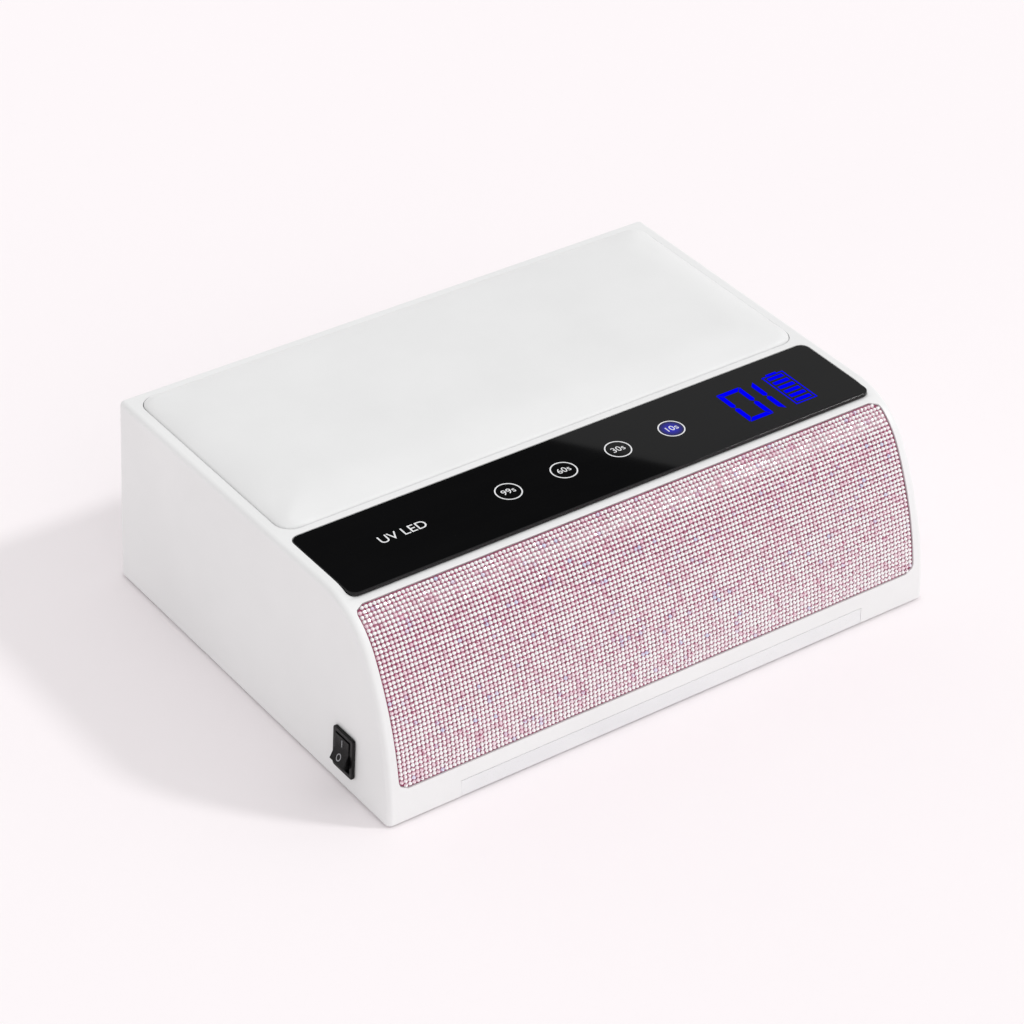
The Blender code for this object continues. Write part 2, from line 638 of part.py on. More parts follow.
def make_cushion():
    board_bottom = POCKET_FLOOR + GAP
    board_low = (-PAD_HALF_WIDTH + 0.002, back_from_front(PAD_FRONT) + 0.002, board_bottom)
    board_high = (PAD_HALF_WIDTH - 0.002, back_from_front(PAD_REAR) - 0.002, board_bottom + PAD_BOARD_THICK)
    piece("cushion_board", rounded_plate(board_low, board_high, 0.006, 3), board_finish, lamp)

    # Rings from the flat underside, up the side and over the crown: (inset, height).
    bottom = board_high[2] + GAP
    crown = HEIGHT + PAD_CROWN
    rings = [(0.0010, bottom), (0, bottom + 0.002), (0, HEIGHT - 0.0035), (0.0012, HEIGHT - 0.0008)]
    rings += [(0.0040, HEIGHT + 0.0012), (0.0100, HEIGHT + 0.0024), (0.0250, crown - 0.0003)]
    shape = bmesh.new()
    made = []
    for inset, height in rings:
        low = (-PAD_HALF_WIDTH + inset, back_from_front(PAD_FRONT) + inset)
        high = (PAD_HALF_WIDTH - inset, back_from_front(PAD_REAR) - inset)
        outline = rounded_outline(low, high, max(PAD_CORNER - inset / 2, 0.004), 4)
        made.append([shape.verts.new((x, y, height)) for x, y in outline])
    shape.faces.new(made[0])
    shape.faces.new(made[-1])
    count = len(made[0])
    for lower, upper in zip(made, made[1:]):
        for here in range(count):
            ahead = (here + 1) % count
            shape.faces.new((lower[here], lower[ahead], upper[ahead], upper[here]))
    piece("hand_cushion", shape, pad_finish, lamp)


# Rocker switch and DC inlet


def side_mount(name, side):
    """An empty on a side wall: its +Z points out of the wall, its +X up the wall."""
    lean = math.pi / 2 - math.atan(SIDE_DRAFT)
    place = (side * half_width(PORT_Z), back_from_front(PORT_FROM_FRONT), PORT_Z)
    turn = (0, -lean, 0) if side < 0 else (0, lean, 0)
    return empty(name, place, turn, lamp)


def make_switch():
    half_up, half_along = BEZEL_HALF
    bezel = rounded_plate((-half_up, -half_along, GAP), (half_up, half_along, BEZEL_THICK), 0.0012, 2)
    body_low = (-SWITCH_BODY_HALF[0], -SWITCH_BODY_HALF[1], -SWITCH_BODY_DEPTH)
    body = box(body_low, (SWITCH_BODY_HALF[0], SWITCH_BODY_HALF[1], GAP + 0.0005))
    well_up, well_along = ROCKER_WELL_HALF
    well = box((-well_up, -well_along, -0.0100), (well_up, well_along, 0.004))
    switch = piece("switch_housing", bezel, black_nylon, switch_mount)
    combine(switch, "UNION", helper("switch_body", body, switch_mount))
    turn = (math.pi / 2, 0, 0)
    pin_hole = cylinder(PIN_RADIUS + GAP, -0.0075, 0.0075, 10)
    pin_seat = helper("pin_seat", pin_hole, switch_mount, (0, 0, ROCKER_PIVOT), turn)
    combine(switch, "DIFFERENCE", helper("switch_well", well, switch_mount), pin_seat)

    # Both halves of the rocker's face slope down to its middle, and the pressed half lies level.
    reach, half_thick = ROCKER_HALF
    middle = ROCKER_END - reach * math.tan(ROCKER_TILT)
    side = [(reach, ROCKER_END), (0.0070, 0.0053), (0.0073, 0.0035), (0.0071, 0.0005), (0.0050, -0.0030)]
    outline = [(0, middle), *side, *[(-up, out) for up, out in reversed(side)]]
    rocker_shape = prism(outline, lambda x, z, y: (x, y, z), -half_thick, half_thick)
    pivot = empty("rocker_pivot", (0, 0, ROCKER_PIVOT), (0, ROCKER_TILT, 0), switch_mount)
    rocker = piece("switch_rocker", rocker_shape, black_nylon, pivot)
    pins = cylinder(PIN_RADIUS, -0.0059, 0.0059, 10)
    combine(rocker, "UNION", helper("rocker_pins", pins, pivot, rotation=turn))
    for number, up in enumerate((-0.0045, 0.0045), 1):
        tab = box((-0.0004, -0.0024, -0.0080), (0.0004, 0.0024, 0))
        place = (up, 0, -SWITCH_BODY_DEPTH - GAP)
        piece(f"switch_terminal_{number}", tab, brass, switch_mount, place)


def make_jack():
    profile = [(0, -0.0110), (0.0038, -0.0110), (0.0038, 0.0003), (0.0055, 0.0003), (0.0055, 0.0012)]
    profile += [(0.0050, 0.0016), (0.0028, 0.0016), (0.0028, -0.0090), (0.0010, -0.0090)]
    profile += [(0.0010, 0.0000), (0, 0.0004)]
    piece("dc_jack", turned(profile, 16), black_nylon, jack_mount)
    nut = [(0.0041, -0.0048), (0.0062, -0.0048), (0.0062, -0.0028), (0.0041, -0.0028), (0.0041, -0.0048)]
    piece("jack_nut", turned(nut), steel, jack_mount)


# Battery, main board and leads


def make_battery():
    floor = DECK_LOW + DECK_THICK + 0.0004
    low = (-0.1174, CELL_Y - 0.0115, floor)
    high = (0.0174, CELL_Y + 0.0115, 0.046)
    holder = piece("battery_holder", box(low, high), black_nylon, lamp)
    rooms = bmesh.new()
    for x in CELL_X:
        room_low = (x - CELL_LENGTH / 2 - GAP, low[1] + 0.0016, floor + 0.0016)
        room_high = (x + CELL_LENGTH / 2 + GAP, high[1] - 0.0016, 0.060)
        box(room_low, room_high, into=rooms)
    combine(holder, "DIFFERENCE", helper("cell_rooms", rooms, lamp))
    number = 0
    for z in CELL_Z:
        for x in CELL_X:
            number += 1
            half = CELL_LENGTH / 2
            profile = [(0, -half), (CELL_RADIUS, -half), (CELL_RADIUS, half - 0.001), (0.0030, half - 0.001)]
            profile += [(0.0030, half), (0, half)]
            cell = turned(profile, 14)
            place = (x, CELL_Y, z)
            piece(f"battery_cell_{number}", cell, cell_finish, lamp, place, (0, math.pi / 2, 0))


def make_main_board():
    floor = DECK_LOW + DECK_THICK + 0.0004
    board = piece("main_board", box((0.026, -0.0660, floor), (0.108, -0.0644, 0.062)), circuit, lamp)
    parts = bmesh.new()
    box((0.034, -0.0780, 0.018), (0.048, -0.0655, 0.032), into=parts)
    box((0.056, -0.0720, 0.020), (0.072, -0.0655, 0.028), into=parts)
    box((0.084, -0.0740, 0.052), (0.100, -0.0655, 0.058), into=parts)
    box((0.034, -0.0720, 0.050), (0.046, -0.0655, 0.056), into=parts)
    round_parts = bmesh.new()
    for x, height in ((0.060, 0.042), (0.074, 0.042), (0.090, 0.034)):
        cylinder(0.0045, 0.0655, 0.0785, 10, (x, height), into=round_parts)
    bodies = helper("board_parts", parts, lamp)
    cans = helper("board_cans", round_parts, lamp, rotation=(math.pi / 2, 0, 0))
    combine(board, "UNION", bodies, cans)


def lead(name, points):
    """An insulated wire along a smooth path through the given points."""
    corners = [Vector(point) for point in points]
    path = []
    for here in range(len(corners) - 1):
        before = corners[max(here - 1, 0)]
        start, end = corners[here], corners[here + 1]
        after = corners[min(here + 2, len(corners) - 1)]
        for step in range(4):
            t = step / 4
            bend = 2 * start + (end - before) * t + (2 * before - 5 * start + 4 * end - after) * t * t
            bend += (3 * start - before - 3 * end + after) * t**3
            path.append(bend / 2)
    path.append(corners[-1])
    curve = bpy.data.curves.new(name, "CURVE")
    curve.dimensions = "3D"
    curve.bevel_depth = 0.0009
    curve.bevel_resolution = 1
    curve.use_fill_caps = True
    spline = curve.splines.new("POLY")
    spline.points.add(len(path) - 1)
    for point, place in zip(spline.points, path):
        point.co = (*place, 1)
    curve.materials.append(wire_finish)
    made = bpy.data.objects.new(name, curve)
    made.parent = lamp
    bpy.context.scene.collection.objects.link(made)


def make_leads():
    lead("switch_lead", [
        (-0.1255, -0.0771, 0.0192), (-0.1225, -0.0800, 0.0210), (-0.1215, -0.0900, 0.0280),
        (-0.1150, -0.0958, 0.0360), (-0.0500, -0.0958, 0.0440), (0.0100, -0.0945, 0.0480),
        (0.0300, -0.0840, 0.0530), (0.0380, -0.0735, 0.0530),
    ])  # fmt: skip
    lead("jack_lead", [
        (0.1375, -0.0771, 0.0190), (0.1300, -0.0790, 0.0190), (0.1150, -0.0850, 0.0300),
        (0.1020, -0.0830, 0.0480), (0.0930, -0.0746, 0.0550),
    ])  # fmt: skip
    lead("battery_lead", [
        (-0.0167, -0.0800, 0.0515), (0.0050, -0.0810, 0.0560), (0.0250, -0.0800, 0.0580),
        (0.0400, -0.0740, 0.0540),
    ])  # fmt: skip
    lead("roof_board_lead", [
        (0.0600, -0.0632, 0.0560), (0.0600, -0.0595, 0.0640), (0.0590, -0.0500, 0.0690),
        (0.0580, -0.0400, 0.0680), (0.0570, -0.0340, 0.0648),
    ])  # fmt: skip
    lead("panel_lead", [
        (0.0980, -0.0632, 0.0560), (0.0980, -0.0595, 0.0640), (0.0960, -0.0560, 0.0740),
        (0.0900, -0.0520, 0.0820), (0.0870, -0.0500, 0.0862),
    ])  # fmt: skip


switch_mount = side_mount("switch_mount", -1)
jack_mount = side_mount("jack_mount", 1)
make_housing()
make_bottom_frame()
make_tray()
make_feet_and_screws()
make_liner()
make_led_boards()
make_control_panel()
make_rhinestone_sheet()
make_cushion()
make_switch()
make_jack()
make_battery()
make_main_board()
make_leads()
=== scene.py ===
import json
import math
import random

import bmesh
import bpy
from mathutils import Matrix, Vector


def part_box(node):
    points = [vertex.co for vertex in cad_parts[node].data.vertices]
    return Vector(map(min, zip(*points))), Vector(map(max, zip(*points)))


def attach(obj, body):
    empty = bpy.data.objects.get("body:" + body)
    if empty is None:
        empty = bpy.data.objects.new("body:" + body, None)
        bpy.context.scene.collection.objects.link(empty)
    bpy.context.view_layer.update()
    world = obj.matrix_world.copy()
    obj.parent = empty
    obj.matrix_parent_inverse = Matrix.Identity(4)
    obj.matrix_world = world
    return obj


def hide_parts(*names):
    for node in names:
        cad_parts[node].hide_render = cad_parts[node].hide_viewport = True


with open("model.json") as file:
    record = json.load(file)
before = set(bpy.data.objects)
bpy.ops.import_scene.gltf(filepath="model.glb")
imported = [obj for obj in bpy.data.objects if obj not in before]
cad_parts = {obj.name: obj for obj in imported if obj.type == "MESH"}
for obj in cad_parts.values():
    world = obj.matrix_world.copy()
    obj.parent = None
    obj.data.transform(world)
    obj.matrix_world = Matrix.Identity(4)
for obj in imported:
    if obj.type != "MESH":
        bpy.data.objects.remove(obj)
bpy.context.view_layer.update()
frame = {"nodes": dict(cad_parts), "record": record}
record = frame["record"]
bodyOf = {node: name for name, nodes in record["behaviour"]["bodies"].items() for node in nodes}
slotOf = {part["node"]: part["material_slot"] for part in record["subparts"]}
print("frame loaded with", len(frame["nodes"]), "nodes")

# The housing's shape in metres: a large front arc, a tighter shoulder arc, sides that lean in.
housing = {
    "width": 0.300,
    "depth": 0.221,
    "height": 0.0946,
    "draft": 0.0221,
    "wall": 0.0024,
    "edgeRound": 0.0025,
    "frontRadius": 0.1592,
    "frontCentreZ": -0.0032,
    "shoulderRadius": 0.0382,
    "shoulderSweep": math.radians(60.5),
    "seatStart": 0.036,
    "seatDepth": 0.0052,
    "lipRound": 0.00025,
}
gap = 0.0003
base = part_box("upper_housing")[0].z  # the housing's lower edge, held up by the feet
rim = base + housing["height"]
frontY = -housing["depth"] / 2
rearY = housing["depth"] / 2


def linear(hexColour):
    parts = [int(hexColour[start : start + 2], 16) / 255 for start in (0, 2, 4)]
    return (*[part / 12.92 if part <= 0.04045 else ((part + 0.055) / 1.055) ** 2.4 for part in parts], 1.0)


def feed(tree, node, sockets):
    for name, value in sockets.items():
        if isinstance(value, bpy.types.NodeSocket):
            tree.links.new(value, node.inputs[name])
        else:
            node.inputs[name].default_value = value


def addNode(tree, kind, sockets=None, stops=None, **settings):
    made = tree.nodes.new(kind)
    for name, value in settings.items():
        setattr(made, name, value)
    feed(tree, made, sockets or {})
    if stops:
        ramp = made.color_ramp
        ramp.elements.remove(ramp.elements[1])
        ramp.elements[0].position = stops[0][0]
        ramp.elements[0].color = linear(stops[0][1])
        for place, colour in stops[1:]:
            ramp.elements.new(place).color = linear(colour)
    return made


def startMaterial(name, fixed):
    material = bpy.data.materials.new(name)
    material.use_nodes = True
    tree = material.node_tree
    shader = tree.nodes["Principled BSDF"]
    feed(tree, shader, fixed)
    return material, tree, shader, addNode(tree, "ShaderNodeTexCoord").outputs["Object"]


def noise(tree, where, size, detail):
    # noise with patches of about this size
    return addNode(tree, "ShaderNodeTexNoise", {"Vector": where, "Scale": 1 / size, "Detail": detail}).outputs


def spread(tree, value, span):
    low, high = span
    made = addNode(tree, "ShaderNodeMapRange", {"Value": value, "To Min": low, "To Max": high})
    return made.outputs["Result"]


def blend(tree, value, stops):
    return addNode(tree, "ShaderNodeValToRGB", {"Fac": value}, stops).outputs["Color"]


def mouldedFinish(name, look):
    material, tree, shader, where = startMaterial(name, look.get("fixed", {}))
    patches = noise(tree, where, look["patch"], 3.0)["Fac"]
    grain = noise(tree, where, look["grain"], 2.0)["Fac"]
    relief = addNode(tree, "ShaderNodeBump", {
        "Height": grain, "Strength": look["relief"], "Distance": look["grain"] / 4,
    })
    feed(tree, shader, {
        "Base Color": blend(tree, patches, ((0.3, look["dark"]), (0.7, look["light"]))),
        "Roughness": spread(tree, grain, look["rough"]),
        "Normal": relief.outputs["Normal"],
    })
    return material


# White ABS, injection moulded in a lightly spark-eroded tool: an even satin white with a very fine grain.
# The real grain is about 0.1 mm, drawn at 0.4 mm so that it shows.
whiteAbs = mouldedFinish("whiteAbsMoulded", {
    "dark": "EBEBEB", "light": "EFEFEF", "patch": 0.060, "grain": 0.0004, "relief": 0.06,
    "rough": (0.34, 0.46), "fixed": {"IOR": 1.53, "Specular IOR Level": 0.4},
})
# High-gloss white ABS for the liner, polished tool: throws the lamp's light back on the nails.
linerWhite = mouldedFinish("whiteAbsPolished", {
    "dark": "E6E8EA", "light": "EEF0F2", "patch": 0.050, "grain": 0.0008, "relief": 0.02,
    "rough": (0.12, 0.20), "fixed": {"IOR": 1.53, "Coat Weight": 0.3},
})
# White ABS again, from a smoother tool, as the tray is wiped clean: a little glossier than the housing.
trayWhite = mouldedFinish("whiteAbsTray", {
    "dark": "E5E5E7", "light": "ECECED", "patch": 0.045, "grain": 0.0005, "relief": 0.05,
    "rough": (0.24, 0.34), "fixed": {"IOR": 1.53},
})
# Black nylon with glass filling: dense black, faint speckle from the filler.
blackNylon = mouldedFinish("blackNylonFilled", {
    "dark": "060607", "light": "0B0B0C", "patch": 0.0012, "grain": 0.0003, "relief": 0.10,
    "rough": (0.22, 0.34), "fixed": {"Specular IOR Level": 0.18},
})
# Black rubber, compression moulded: dark grey and dull, with a slightly rough skin that grips.
blackRubber = mouldedFinish("blackRubberMoulded", {
    "dark": "161616", "light": "222222", "patch": 0.002, "grain": 0.0004, "relief": 0.3, "rough": (0.7, 0.9),
})
# Green solder mask, screened on the boards: a deep green, half gloss.
greenBoard = mouldedFinish("greenSolderMask", {
    "dark": "0E4A26", "light": "14602F", "patch": 0.004, "grain": 0.0006, "relief": 0.15,
    "rough": (0.28, 0.45),
})
# White solder mask on aluminium boards: an even white, half gloss, that reflects the LEDs.
whiteBoard = mouldedFinish("whiteSolderMaskOnAluminium", {
    "dark": "DADCDD", "light": "E8EAEA", "patch": 0.006, "grain": 0.0006, "relief": 0.1, "rough": (0.35, 0.5),
})
# Steel, zinc plated in a barrel: a bluish grey metal with a faintly uneven shine.
zincSteel = mouldedFinish("zincPlatedSteel", {
    "dark": "9A9DA2", "light": "B9BCC0", "patch": 0.002, "grain": 0.0005, "relief": 0.1,
    "rough": (0.22, 0.36), "fixed": {"Metallic": 1.0},
})
# Nickel plate on magnets, pins and LED cups: bright, a little warm.
nickel = mouldedFinish("nickelPlate", {
    "dark": "B9B7B2", "light": "D2D0CB", "patch": 0.002, "grain": 0.0006, "relief": 0.04,
    "rough": (0.12, 0.2), "fixed": {"Metallic": 1.0},
})
# Brass, rolled and stamped, for terminals: yellow metal with a soft shine.
rolledBrass = mouldedFinish("rolledBrass", {
    "dark": "B8923F", "light": "D0AC58", "patch": 0.002, "grain": 0.0005, "relief": 0.08,
    "rough": (0.22, 0.34), "fixed": {"Metallic": 1.0},
})
# Fibreboard, sawn and left raw: brown, matt and fibrous.
rawFibreboard = mouldedFinish("rawFibreboard", {
    "dark": "7A5C3E", "light": "97774F", "patch": 0.003, "grain": 0.0005, "relief": 0.4,
    "rough": (0.75, 0.95),
})
# PVC sleeve shrunk on the cells: a clear blue, half gloss.
shrinkWrap = mouldedFinish("blueShrinkWrap", {
    "dark": "16407C", "light": "1F539B", "patch": 0.010, "grain": 0.0010, "relief": 0.1, "rough": (0.28, 0.4),
})
# PVC insulation, extruded on the leads: red, with a dull shine.
redInsulation = mouldedFinish("redPvcInsulation", {
    "dark": "8E1A1A", "light": "A82323", "patch": 0.004, "grain": 0.0006, "relief": 0.1, "rough": (0.4, 0.55),
})
# The display's moulded block: near black, so that only the lit bars show.
displayBlock = mouldedFinish("displayBlockBlack", {
    "dark": "0B0B10", "light": "141420", "patch": 0.004, "grain": 0.0006, "relief": 0.05, "rough": (0.3, 0.4),
})
# Screen ink on the back of the window: flat white, dense, with hardly any shine.
whiteInk = mouldedFinish("whiteScreenInk", {
    "dark": "DFE0E2", "light": "F4F4F5", "patch": 0.0015, "grain": 0.0002, "relief": 0.1,
    "rough": (0.45, 0.6),
})
# Pad print on the rocker: a thin white ink that lets the black through, so it looks grey.
greyInk = mouldedFinish("greyPadPrint", {
    "dark": "8C8C90", "light": "AEAEB2", "patch": 0.0012, "grain": 0.0002, "relief": 0.1,
    "rough": (0.45, 0.6),
})


def panelFinish():
    # Tinted PMMA, cast and polished: a deep black gloss; faint wipe haze changes only its roughness.
    look = {"haze": 0.035, "rough": (0.02, 0.045), "dark": "060607", "light": "0A0A0B"}
    fixed = {"IOR": 1.49, "Specular IOR Level": 0.32}
    material, tree, shader, where = startMaterial("tintedAcrylicPolished", fixed)
    stretch = addNode(tree, "ShaderNodeMapping", {"Vector": where, "Scale": (0.35, 1.0, 1.0)})
    haze = addNode(tree, "ShaderNodeTexNoise", {
        "Vector": stretch.outputs["Vector"], "Scale": 1 / look["haze"], "Detail": 5.0, "Roughness": 0.6,
    })
    feed(tree, shader, {
        "Base Color": blend(tree, haze.outputs["Fac"], ((0.35, look["dark"]), (0.7, look["light"]))),
        "Roughness": spread(tree, haze.outputs["Fac"], look["rough"]),
    })
    return material


def leatherFinish():
    # PU leather, embossed on a roll: small rounded pebbles with soft valleys, a faint sheen of its top coat.
    # The pebbles are about 0.7 mm, drawn at 1.1 mm so that they show.
    look = {
        "pebble": 0.0011, "warp": 0.002, "relief": 0.10, "depth": 0.00015, "patch": 0.045,
        "rough": (0.36, 0.50), "dark": "E7E7E7", "light": "EBEBEB",
    }
    fixed = {"IOR": 1.48, "Sheen Weight": 0.12, "Sheen Roughness": 0.4}
    material, tree, shader, where = startMaterial("puLeatherPebbled", fixed)
    shifted = addNode(tree, "ShaderNodeVectorMath", {
        0: noise(tree, where, look["warp"], 2.0)["Color"], 1: (look["pebble"] * 0.6,) * 3, 2: where,
    }, operation="MULTIPLY_ADD")
    pebbles = addNode(tree, "ShaderNodeTexVoronoi", {
        "Vector": shifted.outputs["Vector"], "Scale": 1 / look["pebble"], "Smoothness": 0.6,
    }, feature="SMOOTH_F1")
    relief = addNode(tree, "ShaderNodeBump", {
        "Height": pebbles.outputs["Distance"], "Strength": look["relief"], "Distance": look["depth"],
    }, invert=True)
    patches = noise(tree, where, look["patch"], 3.0)["Fac"]
    feed(tree, shader, {
        "Base Color": blend(tree, patches, ((0.3, look["dark"]), (0.7, look["light"]))),
        "Roughness": spread(tree, pebbles.outputs["Distance"], look["rough"]),
        "Normal": relief.outputs["Normal"],
    })
    return material


def stoneFinish():
    # Resin rhinestones with a vapour coat: each stone takes its own tint, mostly near white,
    # some rose; the few lilac and blue ones are a painted reflection of the coat that turns the light.
    # The facets round its table get painted sparkle: a random painted shade per facet, from deep rose to
    # white.
    fixed = {"IOR": 1.56, "Coat Weight": 0.8, "Coat Roughness": 0.03}
    material, tree, shader = startMaterial("resinRhinestone", fixed)[:3]
    tone = addNode(tree, "ShaderNodeAttribute", attribute_name="stoneTone").outputs["Fac"]
    facet = addNode(tree, "ShaderNodeAttribute", attribute_name="paintedFacetSparkle").outputs["Fac"]
    tints = (
        (0.0, "F2D8E2"), (0.12, "FBEEF3"), (0.30, "FFFFFF"), (0.95, "FFFFFF"),
        (0.97, "EEE6F6"), (0.985, "D9E2F8"), (1.0, "F7CEDB"),
    )
    # painted facet light and shade: deep rose for a facet in painted shade, white for a painted highlight
    paintedFacetShades = ((0.0, "CC92A8"), (0.12, "F2D9E2"), (0.22, "FFFFFF"), (1.0, "FFFFFF"))
    colour = addNode(tree, "ShaderNodeMixRGB", {
        "Fac": 1.0, "Color1": blend(tree, tone, tints), "Color2": blend(tree, facet, paintedFacetShades),
    }, blend_type="MULTIPLY")
    feed(tree, shader, {"Base Color": colour.outputs["Color"], "Roughness": spread(tree, tone, (0.05, 0.16))})
    return material


def glowFinish(name, colour, strength):
    # LED light through a tinted window: the lit shapes are nearly even, a little weaker in places.
    material, tree, shader, where = startMaterial(name, {
        "Base Color": linear("000004"), "Roughness": 0.4, "Specular IOR Level": 0.0,
        "Emission Color": linear(colour),
    })
    uneven = addNode(tree, "ShaderNodeTexNoise", {"Vector": where, "Scale": 220.0, "Detail": 1.0})
    glow = spread(tree, uneven.outputs["Fac"], (strength * 0.85, strength))
    feed(tree, shader, {"Emission Strength": glow})
    return material


def buttonGlowFinish(place, radius):
    # The lit touch mark: one LED under the window, brightest behind the figures and fading to its ring.
    material, tree, shader, where = startMaterial("blueButtonGlow", {
        "Base Color": linear("08080C"), "Roughness": 0.3, "Emission Color": linear("1C1CE6"),
    })
    centred = addNode(tree, "ShaderNodeMapping", {
        "Vector": where, "Location": [-part / radius for part in place], "Scale": (1 / radius,) * 3,
    })
    fade = addNode(tree, "ShaderNodeTexGradient", {
        "Vector": centred.outputs["Vector"],
    }, gradient_type="SPHERICAL")
    feed(tree, shader, {"Emission Strength": spread(tree, fade.outputs["Fac"], (0.03, 0.75))})
    return material


tintedPanel = panelFinish()
puLeather = leatherFinish()
resinStone = stoneFinish()
blueGlow = glowFinish("blueLedGlow", "0000FF", 1.0)
# The adhesive film under the stones: a deep rose gloss that shows in the gaps between them.
roseFilm = mouldedFinish("roseAdhesiveFilm", {
    "dark": "7E2249", "light": "9A3660", "patch": 0.004, "grain": 0.0009, "relief": 0.4, "rough": (0.2, 0.4),
})
# Moulded silicone lens over each LED: clear and slightly yellow over the phosphor.
ledLens = mouldedFinish("ledSiliconeLens", {
    "dark": "D9D08A", "light": "EBE6B8", "patch": 0.002, "grain": 0.0008, "relief": 0.02,
    "rough": (0.05, 0.10), "fixed": {"IOR": 1.41, "Coat Weight": 1.0},
})
print("finishes made")


# Shapes


def prism(outline, place, low, high):
    shape = bmesh.new()
    ends = [[shape.verts.new(place(u, v, along)) for u, v in outline] for along in (low, high)]
    for end in ends:
        shape.faces.new(end)
    for here in range(len(outline)):
        ahead = (here + 1) % len(outline)
        shape.faces.new((ends[0][here], ends[0][ahead], ends[1][ahead], ends[1][here]))
    return shape


def box(low, high):
    middle = (Vector(low) + Vector(high)) / 2
    size = Vector(high) - Vector(low)
    shape = bmesh.new()
    bmesh.ops.create_cube(shape, size=1, matrix=Matrix.Translation(middle) @ Matrix.Diagonal((*size, 1)))
    return shape


def arc(centre, radius, start, end, steps):
    turn = (end - start) / steps
    angles = [start + turn * step for step in range(steps + 1)]
    return [(centre[0] + radius * math.cos(angle), centre[1] + radius * math.sin(angle)) for angle in angles]


def roundedOutline(low, high, radius, steps=8):
    points = []
    centres = (
        (high[0] - radius, high[1] - radius), (low[0] + radius, high[1] - radius),
        (low[0] + radius, low[1] + radius), (high[0] - radius, low[1] + radius),
    )
    for quarter, centre in enumerate(centres):
        points += arc(centre, radius, quarter * math.pi / 2, (quarter + 1) * math.pi / 2, steps)
    return points


def upright(x, y, z):
    return (x, y, z)


def roundedPlate(low, high, radius, steps=8):
    return prism(roundedOutline(low[:2], high[:2], radius, steps), upright, low[2], high[2])


def turned(profile, steps=32):
    # a turned solid about Z from (radius, height) points; a profile that closes on itself makes a ring
    shape = bmesh.new()
    around = [2 * math.pi * step / steps for step in range(steps)]
    closed = profile[0] == profile[-1]
    points = profile[:-1] if closed else profile
    rings = []
    for radius, height in points:
        if radius == 0:
            rings.append([shape.verts.new((0, 0, height))])
        else:
            ring = [(radius * math.cos(angle), radius * math.sin(angle), height) for angle in around]
            rings.append([shape.verts.new(place) for place in ring])
    pairs = list(zip(rings, rings[1:])) + ([(rings[-1], rings[0])] if closed else [])
    for lower, upper in pairs:
        for here in range(steps):
            ahead = (here + 1) % steps
            corners = [lower[here % len(lower)], lower[ahead % len(lower)]]
            corners += [upper[ahead % len(upper)], upper[here % len(upper)]]
            shape.faces.new(list(dict.fromkeys(corners)))
    return shape


def makePiece(name, shape, finish, place=None):
    if place:
        shape.transform(place)
    bmesh.ops.recalc_face_normals(shape, faces=shape.faces)
    mesh = bpy.data.meshes.new(name)
    shape.to_mesh(mesh)
    shape.free()
    if finish:
        mesh.materials.append(finish)
    mesh.shade_smooth()
    mesh.set_sharp_from_angle(angle=math.radians(32))
    made = bpy.data.objects.new(name, mesh)
    bpy.context.scene.collection.objects.link(made)
    return made


def settle(piece):
    # the piece's modifiers become its mesh
    graph = bpy.context.evaluated_depsgraph_get()
    old = piece.data
    finished = bpy.data.meshes.new_from_object(piece.evaluated_get(graph), depsgraph=graph)
    piece.modifiers.clear()
    piece.data = finished
    finished.name = piece.name
    bpy.data.meshes.remove(old)
    return piece


def combine(piece, operation, cutters):
    for cutter in cutters:
        boolean = piece.modifiers.new(cutter.name, "BOOLEAN")
        boolean.operation = operation
        boolean.object = cutter
        boolean.solver = "EXACT"
    settle(piece)
    for cutter in cutters:
        bpy.data.objects.remove(cutter)
    return piece


def roundEdges(piece, width, segments=2):
    bevel = piece.modifiers.new("edges", "BEVEL")
    bevel.width = width
    bevel.segments = segments
    bevel.limit_method = "ANGLE"
    bevel.angle_limit = math.radians(32)
    weighted = piece.modifiers.new("shading", "WEIGHTED_NORMAL")
    weighted.keep_sharp = True
    piece.data.set_sharp_from_angle(angle=math.radians(180))
    return settle(piece)


def join(piece, *nodes):
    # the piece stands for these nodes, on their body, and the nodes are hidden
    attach(piece, bodyOf[nodes[0]])
    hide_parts(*nodes)
    return piece


def addTo(piece, node):
    # the piece goes with this node, which stays
    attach(piece, bodyOf[node])
    return piece


def copyShape(node):
    # a CAD node's shape, with its loose triangles joined into whole faces
    shape = bmesh.new()
    shape.from_mesh(frame["nodes"][node].data)
    bmesh.ops.remove_doubles(shape, verts=shape.verts, dist=1e-6)
    bmesh.ops.dissolve_limit(shape, angle_limit=math.radians(0.5), verts=shape.verts, edges=shape.edges)
    return shape


def softened(name, node, finish, width):
    # a copy of a CAD node with its edges broken
    return join(roundEdges(makePiece(name, copyShape(node), finish), width), node)


# The front curve, as in the housing's mould


frontCentre = (frontY + housing["frontRadius"], base + housing["frontCentreZ"])
shoulderStart = math.pi / 2 + housing["shoulderSweep"]
shoulderCentre = (
    frontCentre[0] + (housing["frontRadius"] - housing["shoulderRadius"]) * math.cos(shoulderStart),
    rim - housing["shoulderRadius"],
)
frontStart = math.pi - math.asin(-housing["frontCentreZ"] / housing["frontRadius"])
lowerLength = housing["frontRadius"] * (frontStart - shoulderStart)


def frontPoint(distance, out):
    if distance < lowerLength:
        centre, radius = frontCentre, housing["frontRadius"]
        angle = frontStart - distance / radius
    else:
        centre, radius = shoulderCentre, housing["shoulderRadius"]
        angle = shoulderStart - (distance - lowerLength) / radius
    return (centre[0] + (radius + out) * math.cos(angle), centre[1] + (radius + out) * math.sin(angle))


